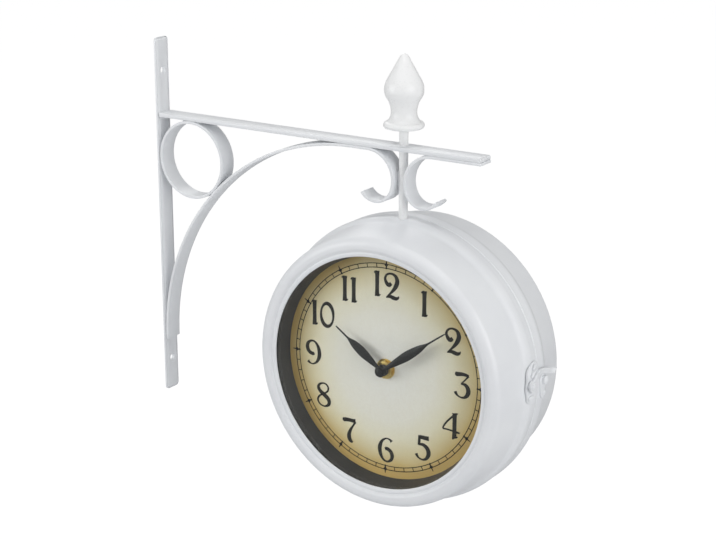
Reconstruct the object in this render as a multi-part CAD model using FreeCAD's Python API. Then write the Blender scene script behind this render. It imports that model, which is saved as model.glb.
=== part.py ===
"""Double sided station clock: a pressed steel case with two dials, hung from a scrolled wall bracket.

Units are millimetres. The origin is on the wall, midway between the two screw holes. +X points away from
the wall, +Z up, and the front dial faces -Y. The case parts are first drawn in a frame of their own: its
origin is the middle of the seam between the two half shells, +Y points out through the dial, and a turn
of 180 degrees about Z gives the front half. Depths in that frame are counted outward from the seam.
"""
import FreeCAD, Part
import math
import os

V = FreeCAD.Vector
ORIGIN, X_AXIS, Y_AXIS, Z_AXIS = V(0, 0, 0), V(1, 0, 0), V(0, 1, 0), V(0, 0, 1)

# ---- wall bracket -------------------------------------------------------------------------------
BAR_WIDTH = 13.5              # flat bar and strips, along Y
BAR_THICKNESS = 3.0           # wall bar and arm
BAR_CORNER_RADIUS = 2.5
WALL_BAR_LENGTH = 262.0
SCREW_SPACING = 215.0
SCREW_HOLE_RADIUS = 2.5
ARM_TOP_HEIGHT = 78.0         # above the middle of the screw holes
ARM_REACH = 263.5             # wall to the arm's free end
STRIP_THICKNESS = 2.0         # ring, brace and scrolls
BRACE_RADIUS = 162.5          # outer face of the quarter circle between wall bar and arm
BRACE_FOOT_LENGTH = 3.5       # the straight end below the quarter circle
SCROLL_RADIUS = 20.5
CURL_RADIUS = 14.0            # the tighter end of each scroll
CURL_START = 22.0             # degrees below level where the tighter curl starts
CURL_TURN = 122.0
SCROLL_GAP = 0.6              # scroll to hanging rod, where the weld sits
QUARTER_TURN = 90.0

# ---- hanging rod and finial ---------------------------------------------------------------------
ROD_REACH = 202.5             # wall to the rod's axis
ROD_RADIUS = 3.0
ROD_HOLE_GAP = 0.1
FINIAL_LIFT = 11.5            # arm top to the finial's base
FINIAL_HEIGHT = 48.5
FINIAL_RADIUS = 13.0          # at the belly
FINIAL_NECK_RADIUS = 8.5
FINIAL_FLANGE_RADIUS = 13.5
FINIAL_FLANGE_THICKNESS = 4.2
FINIAL_NECK_HEIGHT = 10.5     # above the finial's base
FINIAL_BELLY_HEIGHT = 24.9
FINIAL_WAIST_BEND = 16.0      # rounding from neck to belly
FINIAL_BELLY_BEND = 14.0      # rounding above the belly
FINIAL_TIP_RADIUS = 3.2
FINIAL_THREAD_DEPTH = 16.0

# ---- case ---------------------------------------------------------------------------------------
SCROLL_TO_CASE = 8.565        # lowest point of the scrolls to the top of the case
SEAM_OFFSET = 7.0             # seam plane behind the rod's axis
HALF_DEPTH = 43.0             # seam to the crest of a bezel
SHELL_WALL = 1.0
OPENING_RADIUS = 80.0         # the hole that shows the dial
LIP_WIDTH = 6.2               # edge of the opening to the bezel's crest
LIP_SETBACK = 2.2             # how far the opening's edge lies behind the crest
BEZEL_FRONT_RADIUS = 6.3      # rounding from the crest to the bezel's widest part
BEZEL_BACK_RADIUS = 9.3       # rounding behind the widest part
NECK_DEPTH = 1.9              # bezel's widest part down to the lowest part of the cove
DRUM_STEP = 8.9               # cove's lowest part up to the drum
SHOULDER_RADIUS = 20.0
DRUM_LENGTH = 5.0             # seam to the start of the shoulder
SEAM_TAPER = 0.5              # the drum draws in by this much at the seam
SEAM_CHAMFER = 0.5
LIP_GAP = 0.3                 # front shell's inner lip to the rear shell
LIP_LENGTH = 4.0
LIP_ROOT = 1.2

# ---- what each half of the case holds -----------------------------------------------------------
FIT_GAP = 0.3
GLASS_THICKNESS = 1.6
DIAL_SETBACK = 16.2           # bezel crest to dial face
DIAL_THICKNESS = 0.8
DIAL_HOLE_RADIUS = 4.2
SPACER_WALL = 1.4
SPACER_MOUTH_SETBACK = 1.0    # edge of the opening out to the ring, at the glass
SPACER_LEDGE = 2.5            # edge of the opening in to the ring, at the dial
CLIP_COUNT = 4
CLIP_WIDTH = 8.0
CLIP_THICKNESS = 0.8
CLIP_FINGER = 5.0
CLIP_FOOT_LENGTH = 8.0
CLIP_FOOT_GAP = 1.0           # clear of the front shell's inner lip

# ---- hanger inside the front shell --------------------------------------------------------------
SADDLE_LENGTH = 30.0
SADDLE_WIDTH = 11.0
SADDLE_THICKNESS = 3.4
NUT_ACROSS_FLATS = 10.0
NUT_THICKNESS = 5.0
LOCK_NUT_THICKNESS = 3.2
WASHER_RADIUS = 6.0
WASHER_THICKNESS = 1.6
SWIVEL_GAP = 0.05
ROD_TAIL = 1.5                # rod past the lock nut

# ---- hinge and latch ----------------------------------------------------------------------------
LEAF_THICKNESS = 0.9
HINGE_HEIGHT = 26.0
HINGE_LEAF_LENGTH = 11.0
HINGE_AXIS_LIFT = 3.0         # drum to hinge axis
HINGE_RIVET_SPACING = 16.6
HINGE_RIVET_TO_SEAM = 7.0
KNUCKLE_RADIUS = 2.1
KNUCKLE_GAP = 0.25
HINGE_PIN_RADIUS = 1.1
PIN_HEAD_RADIUS = 1.7
PIN_GAP = 0.06
RIVET_RADIUS = 0.95
RIVET_HEAD_RADIUS = 2.0
RIVET_HEAD_HEIGHT = 0.9
PLATE_LOBE_RADIUS = 5.6       # upper end of the latch plate
PLATE_FOOT_RADIUS = 4.6       # lower end of the latch plate
HOOK_PIVOT = (-11.8, 3.5)     # from the seam (minus is the front) and above the middle of the dials
LATCH_RIVETS = [(-13.0, 15.0), (-13.0, 10.2), (-8.4, -5.3)]
PLATE_TOP = (-13.6, 12.0)
PLATE_MIDDLE = (-11.4, 3.5)
PLATE_FOOT = (-8.0, -4.6)
STUD = (6.0, 2.6)
CATCH_RIVET = (7.4, -6.6)
CATCH_LOBE_RADIUS = 4.2
STUD_RADIUS = 2.8
STUD_TAIL_RADIUS = 1.56
STUD_GAP = 0.6                # stud to hook
HOOK_THICKNESS = 1.5
HOOK_WIDTH = 3.2
HOOK_EYE_RADIUS = 3.4
HOOK_LIFT = 0.3               # hook to the plates below it
HOOK_BEND_RADIUS = 10.6       # middle of the hook, from the pivot to its top
HOOK_SLOPE_RADIUS = 26.0      # middle of the hook, from its top to the thumb end
HOOK_SLOPE = 24.0             # degrees that the hook falls from its top to the thumb end
THUMB_BEND_RADIUS = 4.0
THUMB_BEND = 55.0             # degrees that the thumb end turns away from the case
HOOK_PIVOT_RADIUS = 1.3
HOOK_PIVOT_GAP = 0.06

# ---- clock movement -----------------------------------------------------------------------------
MOVEMENT_SIZE = 56.0
MOVEMENT_DEPTH = 15.0
MOVEMENT_WALL = 1.2
MOVEMENT_FACE = 1.5
MOVEMENT_CORNER = 2.0
COVER_GAP = 0.05
BEARING_WALL = 1.2
BEARING_LENGTH = 2.0
BEARING_FLOOR = 0.6           # what is left of the cover below the arbor
ARBOR_FLOAT = 0.1
MOTION_STUD_RADIUS = 0.9
MOTION_STUD_END = 0.6         # stud past the motion wheel
BATTERY_RADIUS = 7.1
BATTERY_LENGTH = 50.5
BATTERY_NUB_RADIUS = 2.75
BATTERY_NUB_LENGTH = 1.0
BATTERY_GAP = 0.25
CONTACT_THICKNESS = 0.4
CONTACT_SIZE = 9.0
BUSH_RADIUS = 4.0
BUSH_LENGTH = 4.7             # dial face to the bush's end
DIAL_NUT_ACROSS_FLATS = 11.0
DIAL_NUT_THICKNESS = 2.6
DIAL_WASHER_RADIUS = 7.0
DIAL_WASHER_THICKNESS = 0.5
ARBOR_RADIUS = 1.55
PIPE_RADIUS = 2.5
RUNNING_GAP = 0.08
PIPE_LENGTH = 5.8             # dial face to the hour pipe's end
ARBOR_LENGTH = 9.0            # dial face to the minute arbor's end
HAND_THICKNESS = 0.5
HOUR_HAND_LENGTH = 44.0
HOUR_HAND_WIDTH = 7.2
MINUTE_HAND_LENGTH = 61.5
MINUTE_HAND_WIDTH = 6.4
HOUR_HAND_HEIGHT = 5.2        # dial face to the underside
MINUTE_HAND_HEIGHT = 7.3
HAND_BOSS_RADIUS = 3.8
CAP_RADIUS = 2.8
CAP_TOP = 10.6                # dial face to the cap nut's top
CAP_DOME = 1.1                # height of its rounded end
REST_MINUTES = 9.0            # past ten, when the hands are at rest
HAND_LEAF = [(0.0, 0.36), (0.10, 0.42), (0.26, 0.76), (0.43, 1.0), (0.60, 0.76), (0.70, 0.34), (0.76, 0.20),
             (0.95, 0.16)]    # (share of the length, share of half the width)
WHEEL_THICKNESS = 0.8
WHEEL_GAP = 0.35
TOOTH_TIP = 0.75              # height above the pitch circle, in modules
TOOTH_ROOT = 1.0              # depth below it
TOOTH_ROOT_SHARE = 0.29       # half a tooth's width at its root, as a share of one step
TOOTH_TIP_SHARE = 0.1
CANNON_TEETH = 12
MOTION_TEETH = 36
MOTION_PINION_TEETH = 10
HOUR_TEETH = 40
CANNON_MODULE = 0.35
KNOB_RADIUS = 6.0
KNOB_HEIGHT = 3.6
KNOB_SHAFT_RADIUS = 1.3
KNOB_ANGLE = 30.0             # direction of the setting shaft, seen from the motion wheel
KNOB_GAP = 0.4                # cover to knob
KNOB_FLUTES = 16
FLUTE_RADIUS = 0.75
FLUTE_SETBACK = 0.35          # knob's rim to the middle of a flute
COIL_RADIUS = 3.4
COIL_LENGTH = 17.0
COIL_OFFSET = 6.0             # middle of the housing to the middle of the coil
COIL_GAP = 1.5                # housing's wall to the winding
COIL_FLANGE_RIM = 0.7
COIL_FLANGE_THICKNESS = 0.8
BOARD_LENGTH = 24.0
BOARD_WIDTH = 9.0
BOARD_THICKNESS = 1.0
BOARD_GAP = 0.5
CHIP_SIZE = 5.0
CHIP_THICKNESS = 1.2
CHIP_PLACE = 6.0              # end of the board to the chip
CRYSTAL_RADIUS = 1.0
CRYSTAL_LENGTH = 6.0
CRYSTAL_GAP = 2.0             # chip to crystal

PAST = 1.0                    # how far a cutting tool runs past the face that it cuts

# ---- worked out from the sizes above ------------------------------------------------------------
ARM_UNDERSIDE = ARM_TOP_HEIGHT - BAR_THICKNESS
CURL_RISE = (SCROLL_RADIUS - CURL_RADIUS) * math.sin(math.radians(CURL_START))
SCROLL_BOTTOM = ARM_UNDERSIDE - SCROLL_RADIUS - CURL_RISE - CURL_RADIUS
CREST_RADIUS = OPENING_RADIUS + LIP_WIDTH
BEZEL_RADIUS = CREST_RADIUS + BEZEL_FRONT_RADIUS
NECK_RADIUS = BEZEL_RADIUS - NECK_DEPTH
DRUM_RADIUS = NECK_RADIUS + DRUM_STEP
LIP_BEND_RADIUS = (LIP_WIDTH ** 2 + LIP_SETBACK ** 2) / (2 * LIP_SETBACK)
SPACER_MOUTH_RADIUS = OPENING_RADIUS + SPACER_MOUTH_SETBACK
SPACER_DIAL_RADIUS = OPENING_RADIUS - SPACER_LEDGE
CASE_CENTRE = V(ROD_REACH, SEAM_OFFSET, SCROLL_BOTTOM - SCROLL_TO_CASE - DRUM_RADIUS)
SCROLL_CENTRE_X = ROD_REACH - ROD_RADIUS - SCROLL_GAP - SCROLL_RADIUS
SEAM_RADIUS = DRUM_RADIUS - SEAM_TAPER
DIAL_FACE = HALF_DEPTH - DIAL_SETBACK
DIAL_BACK = DIAL_FACE - DIAL_THICKNESS
INSERT_RADIUS = NECK_RADIUS - SHELL_WALL - FIT_GAP
MOVEMENT_BACK = DIAL_BACK - MOVEMENT_DEPTH
MOTION_MODULE = CANNON_MODULE * (CANNON_TEETH + MOTION_TEETH) / (MOTION_PINION_TEETH + HOUR_TEETH)
WHEEL_CENTRES = CANNON_MODULE * (CANNON_TEETH + MOTION_TEETH) / 2


# ---- helpers ------------------------------------------------------------------------------------
def box(low, high):
    """A block between two corners."""
    size = high - low
    return Part.makeBox(size.x, size.y, size.z, low)


def rod(radius, start, end):
    """A round bar between two points."""
    along = end - start
    return Part.makeCylinder(radius, along.Length, start, along)


def disc(radius, low, high, x=0.0, z=0.0):
    """A round plate about an axis along Y, from depth low to depth high."""
    return rod(radius, V(x, low, z), V(x, high, z))


def tube(outer, inner, low, high, x=0.0, z=0.0):
    """A ring about an axis along Y."""
    return disc(outer, low, high, x, z).cut(disc(inner, low - PAST, high + PAST, x, z))


def polygon(points):
    """A flat face from its corners."""
    return Part.Face(Part.makePolygon(points + [points[0]]))


def revolve_profile(points):
    """A solid turned about the Y axis from (radius, depth) corners."""
    return polygon([V(r, depth, 0) for r, depth in points]).revolve(ORIGIN, Y_AXIS, 360)


def polar(centre, radius, angle):
    """A point in the XZ plane; the angle is in degrees from +X towards +Z."""
    a = math.radians(angle)
    return centre + V(radius * math.cos(a), 0, radius * math.sin(a))


def hexagon(across_flats, thickness, base, axis):
    """A hexagonal nut blank."""
    radius = across_flats / math.sqrt(3)
    blank = polygon([V(radius * math.cos(math.radians(60 * i)), radius * math.sin(math.radians(60 * i)), 0)
                     for i in range(6)]).extrude(V(0, 0, thickness))
    blank.Placement = FreeCAD.Placement(base, FreeCAD.Rotation(Z_AXIS, axis))
    return blank


def save(shape, node):
    """Write one sub-part."""
    shape.exportStep("parts/%s.step" % node)


def place_rear(shape):
    """Put a case part into the rear half."""
    placed = shape.copy()
    placed.translate(CASE_CENTRE)
    return placed


def place_front(shape):
    """Put a case part into the front half."""
    placed = shape.copy()
    placed.rotate(ORIGIN, Z_AXIS, 180)
    placed.translate(CASE_CENTRE)
    return placed


# ---- wall bracket -------------------------------------------------------------------------------
def arc_strip(centre, radius, start, turn, thickness):
    """Part of a ring of strip: its outer face has this radius, angles in degrees."""
    inner = radius - thickness
    end, middle = start + turn, start + turn / 2
    outer_arc = Part.Arc(*[polar(centre, radius, angle) for angle in (start, middle, end)])
    inner_arc = Part.Arc(*[polar(centre, inner, angle) for angle in (end, middle, start)])
    edges = [outer_arc.toShape(), Part.makeLine(polar(centre, radius, end), polar(centre, inner, end)),
             inner_arc.toShape(), Part.makeLine(polar(centre, inner, start), polar(centre, radius, start))]
    return Part.Face(Part.Wire(edges)).extrude(V(0, BAR_WIDTH, 0))


def bent_strip(start, heading, moves):
    """A flat strip bent in the XZ plane, always to the right. Its outer face follows the path.

    Each move is a straight length, or a (radius, degrees) bend. The heading is in degrees from +X.
    """
    pieces = []
    point = start + V(0, -BAR_WIDTH / 2, 0)
    for move in moves:
        a = math.radians(heading)
        ahead, right = V(math.cos(a), 0, math.sin(a)), V(math.sin(a), 0, -math.cos(a))
        if isinstance(move, tuple):
            radius, turn = move
            centre = point + right * radius
            pieces.append(arc_strip(centre, radius, heading + 90, -turn, STRIP_THICKNESS))
            heading -= turn
            point = polar(centre, radius, heading + 90)
        else:
            end = point + ahead * move
            inside = right * STRIP_THICKNESS
            pieces.append(polygon([point, end, end + inside, point + inside]).extrude(V(0, BAR_WIDTH, 0)))
            point = end
    return pieces[0].multiFuse(pieces[1:]).removeSplitter()


def ring_radius():
    """Radius of the corner ring, which touches the wall bar, the arm and the brace."""
    return BRACE_RADIUS * (math.sqrt(2) - 1) ** 2


def make_wall_bar():
    """Flat bar against the wall, with rounded corners and a screw hole near each end."""
    half = WALL_BAR_LENGTH / 2
    bar = box(V(0, -BAR_WIDTH / 2, -half), V(BAR_THICKNESS, BAR_WIDTH / 2, half))
    corners = [e for e in bar.Edges if abs(e.Vertexes[0].X - e.Vertexes[-1].X) > BAR_THICKNESS / 2]
    bar = bar.makeFillet(BAR_CORNER_RADIUS, corners)
    for side in (-1, 1):
        height = side * SCREW_SPACING / 2
        bar = bar.cut(rod(SCREW_HOLE_RADIUS, V(-PAST, 0, height), V(BAR_THICKNESS + PAST, 0, height)))
    return bar


def make_top_arm():
    """Flat bar that carries the clock, with the rod's hole."""
    arm = box(V(BAR_THICKNESS, -BAR_WIDTH / 2, ARM_UNDERSIDE), V(ARM_REACH, BAR_WIDTH / 2, ARM_TOP_HEIGHT))
    free_corners = [e for e in arm.Edges
                    if e.Vertexes[0].X > ARM_REACH - 0.1 and abs(e.Vertexes[0].Z - e.Vertexes[-1].Z) > 1]
    arm = arm.makeFillet(BAR_CORNER_RADIUS / 2, free_corners)
    low, high = V(ROD_REACH, 0, ARM_UNDERSIDE - PAST), V(ROD_REACH, 0, ARM_TOP_HEIGHT + PAST)
    hole = rod(ROD_RADIUS + ROD_HOLE_GAP, low, high)
    return arm.cut(hole)


def make_corner_ring():
    """Closed ring of strip in the corner between wall bar, arm and brace."""
    radius = ring_radius()
    centre = V(BAR_THICKNESS + radius, -BAR_WIDTH / 2, ARM_UNDERSIDE - radius)
    ends = centre + V(0, BAR_WIDTH, 0)
    return rod(radius, centre, ends).cut(rod(radius - STRIP_THICKNESS, centre, ends))


def make_brace_scroll():
    """One strip: flat on the wall bar, the long brace, flat under the arm, then the scroll beside the rod."""
    foot_end = ARM_UNDERSIDE - BRACE_RADIUS - BRACE_FOOT_LENGTH
    flat = SCROLL_CENTRE_X - BAR_THICKNESS - BRACE_RADIUS
    return bent_strip(V(BAR_THICKNESS, 0, foot_end), QUARTER_TURN,
                      [BRACE_FOOT_LENGTH, (BRACE_RADIUS, QUARTER_TURN), flat,
                       (SCROLL_RADIUS, QUARTER_TURN + CURL_START), (CURL_RADIUS, CURL_TURN)])


def make_end_scroll():
    """The strip under the arm's free end and its scroll, the mirror image of the other scroll."""
    mirrored_end = 2 * ROD_REACH - ARM_REACH
    flat = SCROLL_CENTRE_X - mirrored_end
    strip = bent_strip(V(mirrored_end, 0, ARM_UNDERSIDE), 0,
                       [flat, (SCROLL_RADIUS, QUARTER_TURN + CURL_START), (CURL_RADIUS, CURL_TURN)])
    return strip.mirror(V(ROD_REACH, 0, 0), X_AXIS)


# ---- hanging rod and finial ---------------------------------------------------------------------
def hanger_levels():
    """Heights, from the top down, of the saddle's flat, the washer, both nuts and the rod's end."""
    flat = CASE_CENTRE.z + DRUM_RADIUS - SHELL_WALL - SADDLE_THICKNESS
    washer = flat - SWIVEL_GAP
    nut = washer - WASHER_THICKNESS
    lock_nut = nut - NUT_THICKNESS
    end = lock_nut - LOCK_NUT_THICKNESS - ROD_TAIL
    return flat, washer, nut, lock_nut, end


def make_hanger_rod():
    """Plain rod from inside the finial, through the arm, to inside the case."""
    top = ARM_TOP_HEIGHT + FINIAL_LIFT + FINIAL_THREAD_DEPTH
    bottom = hanger_levels()[-1]
    return rod(ROD_RADIUS, V(ROD_REACH, 0, bottom), V(ROD_REACH, 0, top))


def make_finial():
    """Turned finial screwed on the rod: rounded flange, neck, belly, a long taper and a rounded tip."""
    def point(radius, height):
        return V(radius, 0, height)

    def bow(start, end, centre, inside_radius):
        middle = centre + ((start + end) * 0.5 - centre).normalize() * inside_radius
        return Part.Arc(start, middle, end).toShape()

    edge = FINIAL_FLANGE_THICKNESS / 2
    flat = FINIAL_FLANGE_RADIUS - edge
    base, flange_top = point(flat, 0), point(flat, FINIAL_FLANGE_THICKNESS)
    neck, belly = point(FINIAL_NECK_RADIUS, FINIAL_NECK_HEIGHT), point(FINIAL_RADIUS, FINIAL_BELLY_HEIGHT)
    step, rise = flat - FINIAL_NECK_RADIUS, FINIAL_NECK_HEIGHT - FINIAL_FLANGE_THICKNESS
    cove = (step ** 2 + rise ** 2) / (2 * step)
    spread, climb = FINIAL_RADIUS - FINIAL_NECK_RADIUS, FINIAL_BELLY_HEIGHT - FINIAL_NECK_HEIGHT
    lower_belly = (spread ** 2 + climb ** 2) / (2 * spread) - FINIAL_WAIST_BEND
    waist_centre, low_centre = neck + V(FINIAL_WAIST_BEND, 0, 0), belly - V(lower_belly, 0, 0)
    turning = waist_centre + (low_centre - waist_centre).normalize() * FINIAL_WAIST_BEND
    high_centre, tip_centre = belly - V(FINIAL_BELLY_BEND, 0, 0), point(0, FINIAL_HEIGHT - FINIAL_TIP_RADIUS)
    between = tip_centre - high_centre
    taper = math.acos((FINIAL_BELLY_BEND - FINIAL_TIP_RADIUS) / between.Length)
    lean = math.atan2(between.z, between.x) - taper
    outward = V(math.cos(lean), 0, math.sin(lean))
    taper_start = high_centre + outward * FINIAL_BELLY_BEND
    taper_end = tip_centre + outward * FINIAL_TIP_RADIUS
    tip = point(0, FINIAL_HEIGHT)
    outline = [Part.makeLine(ORIGIN, base),
               Part.Arc(base, point(FINIAL_FLANGE_RADIUS, edge), flange_top).toShape(),
               bow(flange_top, neck, neck + V(cove, 0, 0), cove),
               bow(neck, turning, waist_centre, FINIAL_WAIST_BEND),
               bow(turning, belly, low_centre, lower_belly),
               bow(belly, taper_start, high_centre, FINIAL_BELLY_BEND),
               Part.makeLine(taper_start, taper_end),
               bow(taper_end, tip, tip_centre, FINIAL_TIP_RADIUS), Part.makeLine(tip, ORIGIN)]
    turned = Part.Face(Part.Wire(outline)).revolve(ORIGIN, Z_AXIS, 360)
    turned = turned.cut(rod(ROD_RADIUS, ORIGIN, V(0, 0, FINIAL_THREAD_DEPTH)))
    turned.translate(V(ROD_REACH, 0, ARM_TOP_HEIGHT + FINIAL_LIFT))
    return turned


def make_hanger_nuts():
    """Nut and thin lock nut on the rod's lower end, two separate solids."""
    _, _, nut_top, lock_top, _ = hanger_levels()
    nuts = []
    for top, thickness in ((nut_top, NUT_THICKNESS), (lock_top, LOCK_NUT_THICKNESS)):
        base = V(ROD_REACH, 0, top - thickness)
        nut = hexagon(NUT_ACROSS_FLATS, thickness, base, Z_AXIS)
        nuts.append(nut.cut(rod(ROD_RADIUS, base, base + V(0, 0, thickness))))
    return Part.Compound(nuts)


def make_hanger_washer():
    """Flat washer that the case's saddle turns on."""
    top = hanger_levels()[1]
    base, upper = V(ROD_REACH, 0, top - WASHER_THICKNESS), V(ROD_REACH, 0, top)
    return rod(WASHER_RADIUS, base, upper).cut(rod(ROD_RADIUS, base, upper))


def make_saddle():
    """Plate inside the shell's top that takes the clock's weight."""
    flat = hanger_levels()[0] - CASE_CENTRE.z
    block = box(V(-SADDLE_LENGTH / 2, SEAM_OFFSET - SADDLE_WIDTH / 2, flat),
                V(SADDLE_LENGTH / 2, SEAM_OFFSET + SADDLE_WIDTH / 2, DRUM_RADIUS))
    block = block.common(case_body(-SHELL_WALL))
    hole = rod(ROD_RADIUS + RUNNING_GAP, V(0, SEAM_OFFSET, flat - PAST), V(0, SEAM_OFFSET, DRUM_RADIUS + PAST))
    return block.cut(hole)


# ---- case shells --------------------------------------------------------------------------------
def cove_circle():
    """Radius and centre depth of the cove, tangent to the bezel's back and to the shoulder."""
    back_centre = V(BEZEL_RADIUS - BEZEL_BACK_RADIUS, bezel_widest(), 0)
    shoulder_centre = V(DRUM_RADIUS - SHOULDER_RADIUS, DRUM_LENGTH, 0)

    def depths(radius):
        centre_radius = NECK_RADIUS + radius
        back = math.sqrt((BEZEL_BACK_RADIUS + radius) ** 2 - (centre_radius - back_centre.x) ** 2)
        front = math.sqrt((SHOULDER_RADIUS + radius) ** 2 - (centre_radius - shoulder_centre.x) ** 2)
        return back, front

    room = back_centre.y - shoulder_centre.y
    low, high = 0.1, 200.0
    for _ in range(60):
        radius = (low + high) / 2
        if sum(depths(radius)) > room:
            high = radius
        else:
            low = radius
    return radius, back_centre.y - depths(radius)[0]


def bezel_widest():
    """Depth of the bezel's widest point, where its rounded front ends."""
    return HALF_DEPTH - BEZEL_FRONT_RADIUS


def case_body(offset):
    """One half of the case as a filled solid, opening and all, its outside moved out by this much."""
    def on_circle(centre, radius, towards):
        return centre + (towards - centre).normalize() * radius

    cove_radius, cove_depth = cove_circle()
    lip_centre = V(CREST_RADIUS, HALF_DEPTH - LIP_BEND_RADIUS, 0)
    front_centre = V(CREST_RADIUS, bezel_widest(), 0)
    back_centre = V(BEZEL_RADIUS - BEZEL_BACK_RADIUS, bezel_widest(), 0)
    cove_centre = V(NECK_RADIUS + cove_radius, cove_depth, 0)
    shoulder_centre = V(DRUM_RADIUS - SHOULDER_RADIUS, DRUM_LENGTH, 0)

    lip_reach = LIP_BEND_RADIUS + offset
    lip = V(OPENING_RADIUS, lip_centre.y + math.sqrt(lip_reach ** 2 - LIP_WIDTH ** 2), 0)
    crest = V(CREST_RADIUS, HALF_DEPTH + offset, 0)
    widest = V(BEZEL_RADIUS + offset, bezel_widest(), 0)
    behind = on_circle(back_centre, BEZEL_BACK_RADIUS + offset, cove_centre)
    shoulder_start = on_circle(shoulder_centre, SHOULDER_RADIUS + offset, cove_centre)
    drum = V(DRUM_RADIUS + offset, DRUM_LENGTH, 0)
    seam = V(SEAM_RADIUS + offset, 0, 0)

    def bow(start, end, centre, radius):
        middle = on_circle(centre, radius, (start + end) * 0.5)
        return Part.Arc(start, middle, end).toShape()

    edges = [Part.makeLine(V(0, 0, 0), seam), Part.makeLine(seam, drum),
             bow(drum, shoulder_start, shoulder_centre, SHOULDER_RADIUS + offset),
             bow(shoulder_start, behind, cove_centre, cove_radius - offset),
             bow(behind, widest, back_centre, BEZEL_BACK_RADIUS + offset),
             bow(widest, crest, front_centre, BEZEL_FRONT_RADIUS + offset),
             bow(crest, lip, lip_centre, lip_reach),
             Part.makeLine(lip, V(0, lip.y, 0)), Part.makeLine(V(0, lip.y, 0), V(0, 0, 0))]
    return Part.Face(Part.Wire(edges)).revolve(ORIGIN, Y_AXIS, 360)


def glass_seat():
    """Depth of the inner edge of the bezel's lip, where the glass bears."""
    rise = math.sqrt((LIP_BEND_RADIUS - SHELL_WALL) ** 2 - LIP_WIDTH ** 2)
    return HALF_DEPTH - LIP_BEND_RADIUS + rise


def make_half_shell():
    """Pressed half shell: bezel bead, cove, shoulder and drum, open at the dial and at the seam."""
    shell = case_body(0).cut(case_body(-SHELL_WALL))
    shell = shell.cut(disc(OPENING_RADIUS, DIAL_FACE, HALF_DEPTH + PAST))
    chamfer = revolve_profile([(SEAM_RADIUS - SEAM_CHAMFER, -0.01), (SEAM_RADIUS + PAST, -0.01),
                               (SEAM_RADIUS + PAST, SEAM_CHAMFER + PAST), (SEAM_RADIUS, SEAM_CHAMFER)])
    return shell.cut(chamfer)


def make_seam_lip():
    """Inner lip of the front shell that the rear shell closes over."""
    outer = SEAM_RADIUS - SHELL_WALL - LIP_GAP
    inner = outer - SHELL_WALL
    wall = SEAM_RADIUS - SHELL_WALL + 0.01
    return revolve_profile([(inner, -LIP_LENGTH), (outer, -LIP_LENGTH), (outer, 0), (wall, 0),
                            (wall, LIP_ROOT), (inner, LIP_ROOT)])


# ---- rivets, hinge and latch --------------------------------------------------------------------
def both_halves(offset):
    """The whole case as a filled solid, its outside moved out by this much."""
    rear, front = case_body(offset), case_body(offset)
    front.rotate(ORIGIN, Z_AXIS, 180)
    return rear.fuse(front)


def side_bar(side, radius, place, low, high):
    """A round bar along X at place, between two distances from the case's axis.

    place is (from the seam, height), and side is 1 at the latch and -1 at the hinge.
    """
    y, z = place
    return rod(radius, V(side * low, y, z), V(side * high, y, z))


def side_span():
    """Two distances from the case's axis between which its side lies, plates and all."""
    return DRUM_RADIUS - SHOULDER_RADIUS / 2, DRUM_RADIUS + SHOULDER_RADIUS / 2


def across_side(side, radius, place):
    """A round bar right through the case's side at place."""
    return side_bar(side, radius, place, *side_span())


def side_surface(place, offset):
    """Distance from the case's axis to its side at place, with its surface moved out by offset."""
    y, z = place
    into_shoulder = max(0.0, abs(y) - DRUM_LENGTH)
    radius = DRUM_RADIUS - SHOULDER_RADIUS + math.sqrt((SHOULDER_RADIUS + offset) ** 2 - into_shoulder ** 2)
    return math.sqrt(radius ** 2 - z ** 2)


def dome(side, radius, place, seat):
    """Domed rivet head whose rim is at distance seat from the case's axis."""
    y, z = place
    ball_radius = (radius ** 2 + RIVET_HEAD_HEIGHT ** 2) / (2 * RIVET_HEAD_HEIGHT)
    ball = Part.makeSphere(ball_radius, V(side * (seat + RIVET_HEAD_HEIGHT - ball_radius), y, z))
    return ball.common(side_bar(side, radius, place, seat, seat + 2 * RIVET_HEAD_HEIGHT))


def rivet_tail(side, radius, place, inner):
    """The flattened end of a rivet inside the shell."""
    wall = side_surface(place, -SHELL_WALL)
    return side_bar(side, radius, place, wall - RIVET_HEAD_HEIGHT, wall + RIVET_HEAD_HEIGHT).common(inner)


def rivet(side, place, plated, inner):
    """A domed rivet through plate and shell. plated is the case grown by its plates, inner its cavity."""
    outer, wall = side_surface(place, LEAF_THICKNESS), side_surface(place, -SHELL_WALL)
    shank = side_bar(side, RIVET_RADIUS, place, wall - RIVET_HEAD_HEIGHT, outer + RIVET_HEAD_HEIGHT / 2)
    seat = outer - RIVET_HEAD_HEIGHT / 2
    skirt = side_bar(side, RIVET_HEAD_RADIUS, place, seat, outer)
    head = dome(side, RIVET_HEAD_RADIUS, place, outer).fuse(skirt).cut(plated)
    return shank.multiFuse([head, rivet_tail(side, RIVET_HEAD_RADIUS, place, inner)])


def outer_skin(thickness, rear):
    """A skin of this thickness on the outside of one half, in the rear half's frame."""
    skin = case_body(thickness).cut(case_body(0))
    if not rear:
        skin.rotate(ORIGIN, Z_AXIS, 180)
    return skin


def hinge_rivets(sign):
    """Places of the hinge rivets; sign is 1 in the rear leaf and -1 in the front leaf."""
    return [(sign * HINGE_RIVET_TO_SEAM, half * HINGE_RIVET_SPACING / 2) for half in (-1, 1)]


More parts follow.
